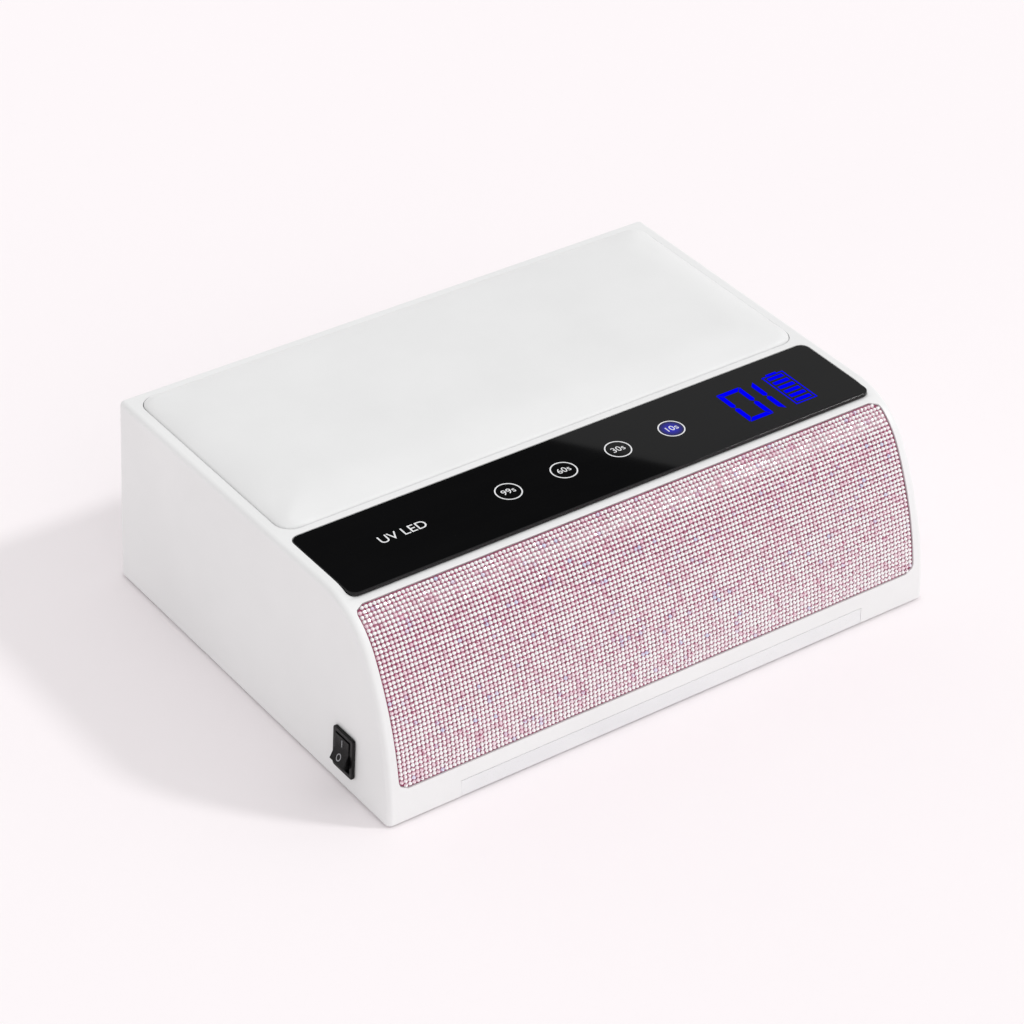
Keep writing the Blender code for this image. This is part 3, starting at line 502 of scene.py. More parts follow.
def sideOutline(inset, bottom, frontSteps, shoulderSteps):
    radius = housing["frontRadius"] - inset
    start = math.pi - math.asin(max(bottom - frontCentre[1], 0) / radius)
    points = arc(frontCentre, radius, start, shoulderStart, frontSteps)
    shoulder = housing["shoulderRadius"] - inset
    points += arc(shoulderCentre, shoulder, shoulderStart, math.pi / 2, shoulderSteps)[1:]
    points += [(rearY - inset, rim - inset), (rearY - inset, bottom)]
    if bottom < frontCentre[1]:
        points.append((frontCentre[0] - radius, bottom))
    return points


def halfWidth(z, inset=0.0):
    return housing["width"] / 2 - inset - housing["draft"] * (z - base)


def housingBody(inset, bottom, frontSteps=14, shoulderSteps=10):
    outline = sideOutline(inset, bottom, frontSteps, shoulderSteps)
    return prism(outline, lambda y, z, side: (side * halfWidth(z, inset), y, z), -1, 1)


def frontSheet(halfAcross, start, end, low, high, corner, steps=40):
    # a sheet on the front curve with round corners: its outline is drawn flat, then wrapped on the curve
    shape = bmesh.new()
    across = [-1 + step / 6 for step in range(13)]
    columns = []
    for step in range(steps + 1):
        distance = start + (end - start) * step / steps
        near = min(distance - start, end - distance)
        bite = corner - math.sqrt(max(corner**2 - max(corner - near, 0) ** 2, 0)) if near < corner else 0
        columns.append([(side * (halfAcross - bite), distance) for side in across])
    rows = []
    for out in (low, high):
        layer = []
        for column in columns:
            placed = []
            for x, distance in column:
                y, z = frontPoint(distance, out)
                placed.append(shape.verts.new((x, y, z)))
            layer.append(placed)
        rows.append(layer)
    for layer in rows:
        for one, two in zip(layer, layer[1:]):
            for here in range(len(one) - 1):
                shape.faces.new((one[here], one[here + 1], two[here + 1], two[here]))
    edge = [(0, here) for here in range(len(across))]
    edge += [(row, len(across) - 1) for row in range(1, steps + 1)]
    edge += [(steps, here) for here in reversed(range(len(across) - 1))]
    edge += [(row, 0) for row in reversed(range(1, steps))]
    for (row, here), (nextRow, nextHere) in zip(edge, edge[1:] + edge[:1]):
        lower, upper = rows
        corners = (lower[row][here], lower[nextRow][nextHere], upper[nextRow][nextHere], upper[row][here])
        shape.faces.new(corners)
    return shape


# Upper housing, rebuilt finer than its CAD solid


pad = {"halfWidth": 0.1414, "front": 0.0935, "rear": 0.2150, "corner": 0.008, "clear": 0.0006, "wall": 0.0020}
pocketFloor = base + 0.0744
past = 0.004  # how far a cutting shape reaches past the skin
panel = {"halfWidth": 0.1423, "front": 0.0403, "rear": 0.0890, "thick": 0.0020, "corner": 0.0045}
stones = {
    "halfWidth": 0.1435, "start": 0.0162, "end": 0.1019, "deep": 0.0012, "film": 0.0004, "corner": 0.0045,
    "size": 0.00197, "height": 0.00085, "columns": 137, "rows": 41, "tilt": 0.22, "seed": 7,
    "margin": 0.0004, "stray": 0.00004,
}
cavity = {
    "halfWidth": 0.1141, "roof": base + 0.0600, "corner": 0.0300, "end": -0.0485,
    "wall": 0.0016, "flange": 0.006, "under": base - 0.005,
}
tray = {"halfWidth": 0.1120, "height": 0.0080, "lip": 0.0024, "endGap": 0.00008}
sideHoles = {
    "height": 0.019, "fromFront": 0.0334, "reach": (-0.010, 0.006),
    "switch": (0.0095, 0.0066), "jack": 0.0041,
}


def archOutline(halfAcross, roof, corner, bottom, steps=14):
    right = arc((halfAcross - corner, roof - corner), corner, 0, math.pi / 2, steps)
    left = [(-x, z) for x, z in reversed(right)]
    return [(halfAcross, bottom), *right, *left, (-halfAcross, bottom)]


def alongY(x, z, y):
    return (x, y, z)


def pocketShape(grow, low):
    lowCorner = (-pad["halfWidth"] - grow, frontY + pad["front"] - grow, low)
    highCorner = (pad["halfWidth"] + grow, frontY + pad["rear"] + grow, rim + past)
    return roundedPlate(lowCorner, highCorner, pad["corner"] + grow)


def sideMount(side):
    # +Z out of the side wall, +X up the wall, at the switch on the left and the inlet on the right
    height = base + sideHoles["height"]
    place = (side * halfWidth(height), frontY + sideHoles["fromFront"], height)
    lean = math.pi / 2 - math.atan(housing["draft"])
    return Matrix.Translation(place) @ Matrix.Rotation(side * lean, 4, "Y")


switchMount = sideMount(-1)
jackMount = sideMount(1)


def makeHousing():
    skin = housingBody(0, base, 36, 22)
    bmesh.ops.recalc_face_normals(skin, faces=skin.faces)
    edges = []
    for edge in skin.edges:
        ends = [vert.co for vert in edge.verts]
        low = max(end.z for end in ends) < base + 1e-4
        beside = any(abs(face.normal.x) > 0.9 for face in edge.link_faces)
        rear = all(end.y > rearY - 1e-4 and end.z > rim - 1e-4 for end in ends)
        if (beside or rear) and not low:
            edges.append(edge)
    bmesh.ops.bevel(skin, geom=edges, offset=housing["edgeRound"], segments=5, profile=0.5, affect="EDGES")
    piece = makePiece("upperHousing", skin, whiteAbs)

    hollow = makePiece("hollow", housingBody(housing["wall"], base - 0.010), None)
    keepPocket = pocketShape(pad["clear"] + pad["wall"], pocketFloor - housing["wall"])
    seatLow = (-housing["width"], frontY + housing["seatStart"], rim - housing["seatDepth"])
    keepSeat = box(seatLow, (housing["width"], frontY + pad["front"] + past, rim + past))
    combine(hollow, "DIFFERENCE", [
        makePiece("keepPocket", keepPocket, None),
        makePiece("keepSeat", keepSeat, None),
    ])

    seat = roundedPlate(
        (-panel["halfWidth"] - gap, frontY + panel["front"] - gap, rim - panel["thick"] - gap),
        (panel["halfWidth"] + gap, frontY + panel["rear"] + gap, rim + past),
        panel["corner"] + gap,
    )
    recess = frontSheet(
        stones["halfWidth"] + gap, stones["start"] - gap, stones["end"] + gap, -stones["deep"] - gap, past,
        stones["corner"] + gap,
    )
    slot = box(
        (-tray["halfWidth"] - gap, frontY - past, base - past),
        (tray["halfWidth"] + gap, frontY + 2 * past, base + tray["height"] + gap),
    )
    arch = archOutline(cavity["halfWidth"], cavity["roof"], cavity["corner"], cavity["under"])
    opening = prism(arch, alongY, rearY - 2 * past, rearY + past)
    halfTall, halfWide = sideHoles["switch"]
    low, high = sideHoles["reach"]
    switchHole = box((-halfTall, -halfWide, low), (halfTall, halfWide, high))
    jackHole = turned([(0, low), (sideHoles["jack"], low), (sideHoles["jack"], high), (0, high)])
    cutters = [
        hollow,
        makePiece("pocketCut", pocketShape(pad["clear"], pocketFloor), None),
        makePiece("seatCut", seat, None),
        makePiece("recessCut", recess, None),
        makePiece("slotCut", slot, None),
        makePiece("openingCut", opening, None),
        makePiece("switchCut", switchHole, None, switchMount),
        makePiece("jackCut", jackHole, None, jackMount),
    ]
    combine(piece, "DIFFERENCE", cutters)
    join(roundEdges(piece, housing["lipRound"]), "upper_housing")


makeHousing()
print("housing made")


# Small parts fitted on points by a node group


def pointCloud(name, places, facings):
    # one point for each part, with the way it faces
    mesh = bpy.data.meshes.new("places")
    mesh.from_pydata(places, [], [])
    facing = mesh.attributes.new("facing", "FLOAT_VECTOR", "POINT")
    facing.data.foreach_set("vector", [part for vector in facings for part in vector])
    made = bpy.data.objects.new(name, mesh)
    bpy.context.scene.collection.objects.link(made)
    return made


def newTree(name, inputs, output):
    tree = bpy.data.node_groups.new(name, "GeometryNodeTree")
    for socket, kind in inputs.items():
        tree.interface.new_socket(socket, in_out="INPUT", socket_type=f"NodeSocket{kind}")
    tree.interface.new_socket(output, in_out="OUTPUT", socket_type="NodeSocketGeometry")
    return tree, addNode(tree, "NodeGroupInput").outputs


def times(tree, value, factor):
    return addNode(tree, "ShaderNodeMath", {0: value, 1: factor}, operation="MULTIPLY").outputs[0]


def facingTurn(tree):
    # stands a part up on its point
    facing = addNode(tree, "GeometryNodeInputNamedAttribute", {"Name": "facing"}, data_type="FLOAT_VECTOR")
    turn = addNode(tree, "FunctionNodeAlignRotationToVector", {
        "Vector": facing.outputs["Attribute"],
    }, axis="Z")
    return turn.outputs["Rotation"]


def painted(tree, shape, finish):
    made = addNode(tree, "GeometryNodeSetMaterial", {"Geometry": shape, "Material": finish})
    return made.outputs["Geometry"]


def runTree(piece, tree, values):
    grown = piece.modifiers.new(tree.name, "NODES")
    grown.node_group = tree
    for socket in tree.interface.items_tree:
        if socket.name in values:
            grown[socket.identifier] = values[socket.name]
    return settle(piece)


# Rhinestones


def makeStoneFilm():
    low = -stones["deep"]
    film = frontSheet(
        stones["halfWidth"], stones["start"], stones["end"], low, low + stones["film"], stones["corner"]
    )
    join(makePiece("stoneFilm", film, roseFilm), "rhinestone_sheet")


def stonePlaces():
    margin, stray = stones["margin"], stones["stray"]
    pitchAcross = 2 * (stones["halfWidth"] - margin) / stones["columns"]
    pitchAlong = (stones["end"] - stones["start"] - 2 * margin) / stones["rows"]
    chance = random.Random(stones["seed"])
    places = []
    facings = []
    for row in range(stones["rows"]):
        level = stones["start"] + margin + (row + 0.5) * pitchAlong
        for column in range(stones["columns"]):
            x = (column + 0.5) * pitchAcross - stones["halfWidth"] + margin + chance.uniform(-stray, stray)
            distance = level + chance.uniform(-stray, stray)
            y, z = frontPoint(distance, stones["film"] - stones["deep"])
            outY, outZ = frontPoint(distance, 1.0)
            if row in (0, stones["rows"] - 1) and column in (0, stones["columns"] - 1):
                continue
            places.append((x, y, z))
            facings.append((0, outY - y, outZ - z))
    return pointCloud("rhinestones", places, facings)


def stoneTree():
    tree, given = newTree("setStones", {
        "Places": "Geometry", "Stone size": "Float", "Stone height": "Float", "Tilt": "Float",
        "Seed": "Int", "Finish": "Material",
    }, "Stones")
    size = given["Stone size"]
    crown = addNode(tree, "GeometryNodeMeshCone", {
        "Vertices": 8, "Radius Top": times(tree, size, 0.29), "Radius Bottom": times(tree, size, 0.5),
        "Depth": given["Stone height"],
    })
    # the flat table of each stone is noted, as it stays pale while the facets round it get painted light and
    # shade
    noted = addNode(tree, "GeometryNodeStoreNamedAttribute", {
        "Geometry": crown.outputs["Mesh"], "Name": "table", "Value": crown.outputs["Top"],
    }, data_type="FLOAT", domain="FACE")
    # most stones sit nearly flat and a few lean well over, which is what makes single stones flash
    way = addNode(tree, "FunctionNodeRandomValue", {
        0: (-1, -1, -1), 1: (1, 1, 1), "Seed": given["Seed"],
    }, data_type="FLOAT_VECTOR").outputs[0]
    square = addNode(tree, "ShaderNodeVectorMath", {0: way, 1: way}, operation="MULTIPLY")
    cube = addNode(tree, "ShaderNodeVectorMath", {0: square.outputs[0], 1: way}, operation="MULTIPLY")
    most = addNode(tree, "ShaderNodeCombineXYZ", {"X": given["Tilt"], "Y": given["Tilt"], "Z": 0.1})
    spin = addNode(tree, "ShaderNodeVectorMath", {
        0: cube.outputs[0], 1: most.outputs[0], 2: (0, 0, math.pi / 8),
    }, operation="MULTIPLY_ADD")
    leaning = addNode(tree, "FunctionNodeEulerToRotation", {"Euler": spin.outputs[0]})
    turn = addNode(tree, "FunctionNodeRotateRotation", {
        "Rotation": facingTurn(tree), "Rotate By": leaning.outputs["Rotation"],
    }, rotation_space="LOCAL")
    setStones = addNode(tree, "GeometryNodeInstanceOnPoints", {
        "Points": given["Places"], "Instance": noted.outputs["Geometry"],
        "Rotation": turn.outputs["Rotation"],
    })
    tone = addNode(tree, "FunctionNodeRandomValue", {"Seed": given["Seed"]}, data_type="FLOAT")
    toned = addNode(tree, "GeometryNodeStoreNamedAttribute", {
        "Geometry": setStones.outputs["Instances"], "Name": "stoneTone", "Value": tone.outputs[1],
    }, data_type="FLOAT", domain="INSTANCE")
    real = addNode(tree, "GeometryNodeRealizeInstances", {"Geometry": toned.outputs["Geometry"]})
    table = addNode(tree, "GeometryNodeInputNamedAttribute", {"Name": "table"}, data_type="FLOAT")
    # each facet but the table gets a random painted shade, from dark to pale, that stands in for its sparkle
    paintedSparkle = addNode(tree, "FunctionNodeRandomValue", {
        2: table.outputs["Attribute"], "Seed": given["Seed"],
    }, data_type="FLOAT")
    cut = addNode(tree, "GeometryNodeStoreNamedAttribute", {
        "Geometry": real.outputs["Geometry"], "Name": "paintedFacetSparkle", "Value": paintedSparkle.outputs[1],
    }, data_type="FLOAT", domain="FACE")
    addNode(tree, "NodeGroupOutput", {"Stones": painted(tree, cut.outputs["Geometry"], given["Finish"])})
    return tree


def makeStones():
    piece = runTree(stonePlaces(), stoneTree(), {
        "Stone size": stones["size"], "Stone height": stones["height"], "Tilt": stones["tilt"],
        "Seed": stones["seed"], "Finish": resinStone,
    })
    addTo(piece, "rhinestone_sheet")
    print("rhinestones set:", len(piece.data.polygons), "faces")


makeStoneFilm()
makeStones()


# Control panel, its printed marks and its lit display


marks = {
    "ringRadius": 0.0063, "ringLine": 0.0006, "fromFront": 0.066, "thick": 0.00005, "lift": 0.00001,
    "places": ((-0.0433, "99s"), (-0.0133, "60s"), (0.0167, "30s"), (0.0467, "10s")),
    "textSize": 0.0051, "name": "UV LED", "nameSize": 0.0074, "nameX": -0.099,
}
digits = {
    "zero": (0.0800, 0.0936), "one": 0.0998, "front": 0.0508, "rear": 0.0759, "line": 0.0026, "split": 0.0003,
}
battery = {
    "left": 0.1067, "right": 0.1190, "front": 0.0505, "rear": 0.0760, "line": 0.0006, "bars": 6,
    "nub": (0.1098, 0.1156), "nubDeep": 0.0011,
}
markLow = rim + marks["lift"]
markHigh = markLow + marks["thick"]


def makePanel():
    shape = roundedPlate(
        (-panel["halfWidth"], frontY + panel["front"], rim - panel["thick"]),
        (panel["halfWidth"], frontY + panel["rear"], rim),
        panel["corner"],
        10,
    )
    join(roundEdges(makePiece("controlPanel", shape, tintedPanel), 0.00035, 3), "control_panel")


def flatShape(outline):
    return prism(outline, upright, markLow, markHigh)


def pour(shapes):
    # several closed shapes in one
    whole = bmesh.new()
    for shape in shapes:
        mesh = bpy.data.meshes.new("part")
        shape.to_mesh(mesh)
        shape.free()
        whole.from_mesh(mesh)
        bpy.data.meshes.remove(mesh)
    return whole


def ringShape(outer, line, low, high, steps=48):
    inner = outer - line
    return turned([(inner, low), (outer, low), (outer, high), (inner, high), (inner, low)], steps)


def textShape(words, size, place):
    curve = bpy.data.curves.new("words", "FONT")
    curve.body = words
    curve.size = size
    curve.extrude = marks["thick"] / 2
    curve.align_x = "CENTER"
    curve.align_y = "CENTER"
    writer = bpy.data.objects.new("words", curve)
    bpy.context.scene.collection.objects.link(writer)
    graph = bpy.context.evaluated_depsgraph_get()
    mesh = bpy.data.meshes.new_from_object(writer.evaluated_get(graph))
    shape = bmesh.new()
    shape.from_mesh(mesh)
    shape.transform(Matrix.Translation(place))
    bpy.data.objects.remove(writer)
    bpy.data.meshes.remove(mesh)
    bmesh.ops.remove_doubles(shape, verts=shape.verts, dist=1e-7)
    return shape


def makeInk():
    y = frontY + marks["fromFront"]
    middle = (markLow + markHigh) / 2
    shapes = []
    for x, words in marks["places"]:
        ring = ringShape(marks["ringRadius"], marks["ringLine"], markLow, markHigh)
        ring.transform(Matrix.Translation((x, y, 0)))
        shapes += [ring, textShape(words, marks["textSize"], (x, y, middle + marks["thick"]))]
    shapes.append(textShape(marks["name"], marks["nameSize"], (marks["nameX"], y, middle)))
    addTo(makePiece("panelInk", pour(shapes), whiteInk), "control_panel")


def segment(start, end, line, outward, waist):
    # one bar of a seven-segment digit: mitred where it meets a corner, pointed at the digit's waist
    begin, finish = Vector(start), Vector(end)
    side = Vector(outward) * line / 2
    reach = (finish - begin).normalized() * line / 2
    corners = [begin - reach + side, finish + reach + side, finish - reach - side, begin + reach - side]
    if waist:
        corners[1:2] = [finish - reach + side, finish]
    return flatShape([tuple(corner) for corner in corners])


def makeDisplay():
    line, split = digits["line"], digits["split"]
    left, right = digits["zero"]
    near, far = frontY + digits["front"] + line / 2, frontY + digits["rear"] - line / 2
    half = (near + far) / 2
    xLow, xHigh = left + line / 2, right - line / 2
    bars = [
        ((xLow + split, far), (xHigh - split, far), (0, 1), False),
        ((xLow + split, near), (xHigh - split, near), (0, -1), False),
    ]
    for x, outward in ((xLow, -1), (xHigh, 1), (digits["one"], 1)):
        for end, waist in ((near + split, half - split / 2), (far - split, half + split / 2)):
            bars.append(((x, end), (x, waist), (outward, 0), True))
    shapes = [segment(start, end, line, outward, waist) for start, end, outward, waist in bars]
    low = (battery["left"], frontY + battery["front"])
    high = (battery["right"], frontY + battery["rear"])
    thin = battery["line"]
    rails = (
        (low, (high[0], low[1] + thin)), ((low[0], high[1] - thin), high),
        ((low[0], low[1] + thin), (low[0] + thin, high[1] - thin)),
        ((high[0] - thin, low[1] + thin), (high[0], high[1] - thin)),
        ((battery["nub"][0], high[1]), (battery["nub"][1], high[1] + battery["nubDeep"])),
    )
    inside = high[1] - low[1] - 2 * thin
    pitch = inside / (battery["bars"] + 0.15)
    fills = []
    for bar in range(battery["bars"]):
        start = low[1] + thin + pitch * (bar + 0.30)
        fills.append(((low[0] + 3 * thin, start), (high[0] - 3 * thin, start + pitch * 0.58)))
    for one, two in (*rails, *fills):
        shapes.append(box((*one, markLow), (*two, markHigh)))
    addTo(makePiece("displayGlow", pour(shapes), blueGlow), "control_panel")


def makeButtonGlow():
    place = (marks["places"][-1][0], frontY + marks["fromFront"], markLow)
    radius = marks["ringRadius"] - marks["ringLine"]
    disc = turned([(0, 0), (radius, 0), (radius, marks["thick"] / 2), (0, marks["thick"] / 2)], 48)
    finish = buttonGlowFinish(place, radius)
    addTo(makePiece("buttonGlow", disc, finish, Matrix.Translation(place)), "control_panel")


makePanel()
makeInk()
makeDisplay()
makeButtonGlow()
print("control panel made")


# Hand-rest cushion


cushion = {
    "spacing": 0.0045, "pressure": 4.0, "frames": 20, "cap": 0.0012, "pinned": 0.0004, "wallGap": 0.0002,
    "crown": (  # distance in from the edge, height over the rim
        (0, -0.0010), (0.0002, 0.0004), (0.0008, 0.0012), (0.0018, 0.0019), (0.0034, 0.0027),
        (0.0058, 0.0036), (0.0092, 0.0044), (0.0135, 0.0049), (0.0190, 0.0051),
    ),
    "shoulder": (0.0045, 0.0001),  # depth under the rim, how far it draws in there
    "sides": ((0.0090, 0.0003), (0.0024, 0.0004), (0.0008, 0.0008)),  # height over its underside, the same
    "under": 0.0016,
}


def gridLines(half):
    # fine lines near both edges, then an even spacing
    fine = [point[0] for point in cushion["crown"]]
    count = round(2 * (half - fine[-1]) / cushion["spacing"])
    inner = [-half + fine[-1] + 2 * (half - fine[-1]) * step / count for step in range(1, count)]
    return [-half + inward for inward in fine] + inner + [half - inward for inward in reversed(fine)]


def crownHeight(inward):
    for (start, low), (end, high) in zip(cushion["crown"], cushion["crown"][1:]):
        if inward < end:
            return low + (high - low) * (inward - start) / (end - start)
    return cushion["crown"][-1][1]


def cushionStart():
    # a quad grid pushed into a round-cornered plan for the top and the underside, with rings between them
    low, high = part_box("hand_cushion")
    middle = (low + high) / 2
    reach = pad["clear"] - cushion["wallGap"]
    halfX, halfY = (high.x - low.x) / 2 + reach, (high.y - low.y) / 2 + reach
    radius = pad["corner"] + reach
    linesX, linesY = gridLines(halfX), gridLines(halfY)
    shape = bmesh.new()

    def corner(x, y, shrink, z):
        offX, offY = abs(x) - (halfX - radius), abs(y) - (halfY - radius)
        if offX > 0 and offY > 0:
            scale = max(offX, offY) / math.hypot(offX, offY)
            x = math.copysign(halfX - radius + offX * scale, x)
            y = math.copysign(halfY - radius + offY * scale, y)
        x *= 1 - shrink / halfX
        y *= 1 - shrink / halfY
        return shape.verts.new((middle.x + x, middle.y + y, z))

    def inward(x, y):
        return min(halfX - abs(x), halfY - abs(y))

    top = [[corner(x, y, 0, rim + crownHeight(inward(x, y))) for x in linesX] for y in linesY]
    under = [[corner(x, y, cushion["under"], low.z) for x in linesX] for y in linesY]
    for grid in (top, under):
        for near, far in zip(grid, grid[1:]):
            for here in range(len(near) - 1):
                shape.faces.new((near[here], near[here + 1], far[here + 1], far[here]))
    last, end = len(linesX) - 1, len(linesY) - 1
    edge = [(0, here) for here in range(last)] + [(row, last) for row in range(end)]
    edge += [(end, here) for here in range(last, 0, -1)] + [(row, 0) for row in range(end, 0, -1)]
    rings = [[top[row][here] for row, here in edge]]
    depth, drawn = cushion["shoulder"]
    levels = [(rim - depth, drawn)] + [(low.z + height, shrink) for height, shrink in cushion["sides"]]
    for z, shrink in levels:
        rings.append([corner(linesX[here], linesY[row], shrink, z) for row, here in edge])
    rings.append([under[row][here] for row, here in edge])
    for upper, lower in zip(rings, rings[1:]):
        for here in range(len(edge)):
            ahead = (here + 1) % len(edge)
            shape.faces.new((upper[here], upper[ahead], lower[ahead], lower[here]))
    return makePiece("handCushion", shape, puLeather)


def swell(piece):
    # the cover is held by the pocket up to the rim and swells above it
    scene = bpy.context.scene
    held = piece.vertex_groups.new(name="held")
    inPocket = [vert.index for vert in piece.data.vertices if vert.co.z < rim + cushion["pinned"]]
    held.add(inPocket, 1.0, "REPLACE")
    cloth = piece.modifiers.new("swell", "CLOTH")
    cloth.settings.vertex_group_mass = "held"
    cloth.settings.use_pressure = True
    cloth.settings.uniform_pressure_force = cushion["pressure"]
    cloth.settings.effector_weights.gravity = 0
    cloth.settings.quality = 6
    cloth.point_cache.frame_end = cushion["frames"]
    start = [vert.co.copy() for vert in piece.data.vertices]
    for step in range(1, cushion["frames"] + 1):
        scene.frame_set(step)
    graph = bpy.context.evaluated_depsgraph_get()
    swollen = [vert.co.copy() for vert in piece.evaluated_get(graph).data.vertices]
    piece.modifiers.clear()
    piece.vertex_groups.clear()
    scene.frame_set(1)
    moves = [after - before for before, after in zip(start, swollen)]
    print("the cover swelled up to", round(max(move.length for move in moves) * 1000, 2), "mm before its cap")
    for vert, before, move in zip(piece.data.vertices, start, moves):
        if move.length > 1e-7:  # eases towards the cap instead of stopping at it
            move *= cushion["cap"] * (1 - math.exp(-move.length / cushion["cap"])) / move.length
        vert.co = before + move


def makeCushion():
    piece = cushionStart()
    swell(piece)
    fine = piece.modifiers.new("fine", "SUBSURF")
    fine.levels = 1
    fine.render_levels = 1
    settle(piece)
    piece.data.shade_smooth()
    join(piece, "hand_cushion")
    top = max(vert.co.z for vert in piece.data.vertices)
    print("cushion made, crown", round((top - rim) * 1000, 2), "mm over the rim")


makeCushion()


# Cavity liner and LED boards


leds = {
    "radius": 0.0040, "hole": 0.0045, "rows": (-0.025, 0.010, 0.045, 0.080),
    "roofColumns": (-0.075, -0.045, -0.015, 0.015, 0.045, 0.075),
    "endColumns": (-0.045, -0.015, 0.015, 0.045),
    "sideZ": base + 0.018, "endZ": base + 0.030, "board": 0.0016, "air": 0.0004, "proud": 0.0030,
    "roofBoard": (0.084, 0.068), "sideBoard": (0.066, 0.009), "endBoard": (0.058, 0.010),  # half sizes
    "sensorY": 0.1022, "sensorX": (-0.007, 0.007), "sensorHole": 0.0025,
}


def rod(radius, place, steps=24):
    # a drill that reaches through a wall on both sides
    shape = turned([(0, -past), (radius, -past), (radius, past), (0, past)], steps)
    shape.transform(place)
    return shape


def makeLiner():
    outer = cavity["halfWidth"] + cavity["wall"]
    low = base + 0.0033
    rear = rearY - housing["wall"] - gap
    end = cavity["end"] - cavity["wall"]
    skin = archOutline(outer, cavity["roof"] + cavity["wall"], cavity["corner"] + cavity["wall"], low)
    piece = makePiece("cavityLiner", prism(skin, alongY, end, rear), linerWhite)
    grow = cavity["wall"] + cavity["flange"]
    edge = archOutline(cavity["halfWidth"] + grow, cavity["roof"] + grow, cavity["corner"] + grow, low)
    combine(piece, "UNION", [makePiece("flange", prism(edge, alongY, rear - 0.0018, rear), None)])
    inside = archOutline(cavity["halfWidth"], cavity["roof"], cavity["corner"], cavity["under"])
    room = prism(inside, alongY, cavity["end"], rearY + past)
    passage = box(
        (-tray["halfWidth"] - 2 * gap, end - 0.002, cavity["under"]),
        (tray["halfWidth"] + 2 * gap, cavity["end"] + 0.001, base + tray["height"] + 2 * gap),
    )
    holes = []
    for y in leds["rows"]:
        for x in leds["roofColumns"]:
            holes.append(rod(leds["hole"], Matrix.Translation((x, y, cavity["roof"]))))
        for side in (-1, 1):
            at = Matrix.Translation((side * outer, y, leds["sideZ"])) @ Matrix.Rotation(math.pi / 2, 4, "Y")
            holes.append(rod(leds["hole"], at))
    for x in leds["endColumns"]:
        at = Matrix.Translation((x, end, leds["endZ"])) @ Matrix.Rotation(math.pi / 2, 4, "X")
        holes.append(rod(leds["hole"], at))
    for x in leds["sensorX"]:
        holes.append(rod(leds["sensorHole"], Matrix.Translation((x, leds["sensorY"], cavity["roof"])), 16))
    cutters = {"room": room, "passage": passage, "holes": pour(holes)}
    combine(piece, "DIFFERENCE", [makePiece(name, shape, None) for name, shape in cutters.items()])
    join(roundEdges(piece, 0.0003), "cavity_liner")


def ledTree():
    # one LED on each point: a bright cup, a domed lens on it
    tree, given = newTree("fitLeds", {
        "Places": "Geometry", "Radius": "Float", "Proud": "Float", "Cup": "Material", "Lens": "Material",
    }, "Leds")
    cupHeight = times(tree, given["Proud"], 0.6)
    cup = addNode(tree, "GeometryNodeMeshCylinder", {
        "Vertices": 24, "Radius": given["Radius"], "Depth": cupHeight,
    })
    cupPlace = addNode(tree, "ShaderNodeCombineXYZ", {"Z": times(tree, cupHeight, 0.5)})
    cupSet = addNode(tree, "GeometryNodeTransform", {
        "Geometry": cup.outputs["Mesh"], "Translation": cupPlace.outputs[0],
    })
    lensRadius = times(tree, given["Radius"], 0.8)
    ball = addNode(tree, "GeometryNodeMeshUVSphere", {"Segments": 20, "Rings": 10, "Radius": lensRadius})
    squash = addNode(tree, "ShaderNodeMath", {
        0: times(tree, given["Proud"], 0.98), 1: lensRadius,
    }, operation="DIVIDE")
    flatness = addNode(tree, "ShaderNodeCombineXYZ", {"X": 1.0, "Y": 1.0, "Z": squash.outputs[0]})
    dome = addNode(tree, "GeometryNodeTransform", {
        "Geometry": ball.outputs["Mesh"], "Scale": flatness.outputs[0],
    })
    led = addNode(tree, "GeometryNodeJoinGeometry")
    for part, finish in ((cupSet, "Cup"), (dome, "Lens")):
        tree.links.new(painted(tree, part.outputs["Geometry"], given[finish]), led.inputs[0])
    fitted = addNode(tree, "GeometryNodeInstanceOnPoints", {
        "Points": given["Places"], "Instance": led.outputs[0], "Rotation": facingTurn(tree),
    })
    real = addNode(tree, "GeometryNodeRealizeInstances", {"Geometry": fitted.outputs["Instances"]})
    addNode(tree, "NodeGroupOutput", {"Leds": real.outputs["Geometry"]})
    return tree


def makeLeds(name, node, places, facing, tree):
    piece = runTree(pointCloud(name, places, [facing] * len(places)), tree, {
        "Radius": leds["radius"], "Proud": leds["proud"], "Cup": nickel, "Lens": ledLens,
    })
    piece.data.shade_smooth()
    piece.data.set_sharp_from_angle(angle=math.radians(40))
    addTo(piece, node)


def makeLedBoards():
    tree = ledTree()
    outer = cavity["halfWidth"] + cavity["wall"] + leds["air"]
    roof = cavity["roof"] + cavity["wall"] + leds["air"]
    end = cavity["end"] - cavity["wall"] - leds["air"]
    thick = leds["board"]
    middle = sum(leds["rows"]) / len(leds["rows"])
    wide, deep = leds["roofBoard"]
    long, tall = leds["sideBoard"]
    across, high = leds["endBoard"]
    sideZ, endZ = leds["sideZ"], leds["endZ"]
    boards = (
        ("Roof", (-wide, middle - deep, roof), (wide, middle + deep, roof + thick), (0, 0, -1),
         [(x, y, roof) for x in leds["roofColumns"] for y in leds["rows"]]),
        ("Left", (-outer - thick, middle - long, sideZ - tall), (-outer, middle + long, sideZ + tall),
         (1, 0, 0), [(-outer, y, sideZ) for y in leds["rows"]]),
        ("Right", (outer, middle - long, sideZ - tall), (outer + thick, middle + long, sideZ + tall),
         (-1, 0, 0), [(outer, y, sideZ) for y in leds["rows"]]),
        ("End", (-across, end - thick, endZ - high), (across, end, endZ + high), (0, 1, 0),
         [(x, end, endZ) for x in leds["endColumns"]]),
    )
    for word, low, high, facing, places in boards:
        node = f"led_board_{word.lower()}"
        join(roundEdges(makePiece(f"ledBoard{word}", box(low, high), whiteBoard), 0.0002), node)
        makeLeds(f"leds{word}", node, places, facing, tree)


makeLiner()
makeLedBoards()
print("liner and LEDs made")


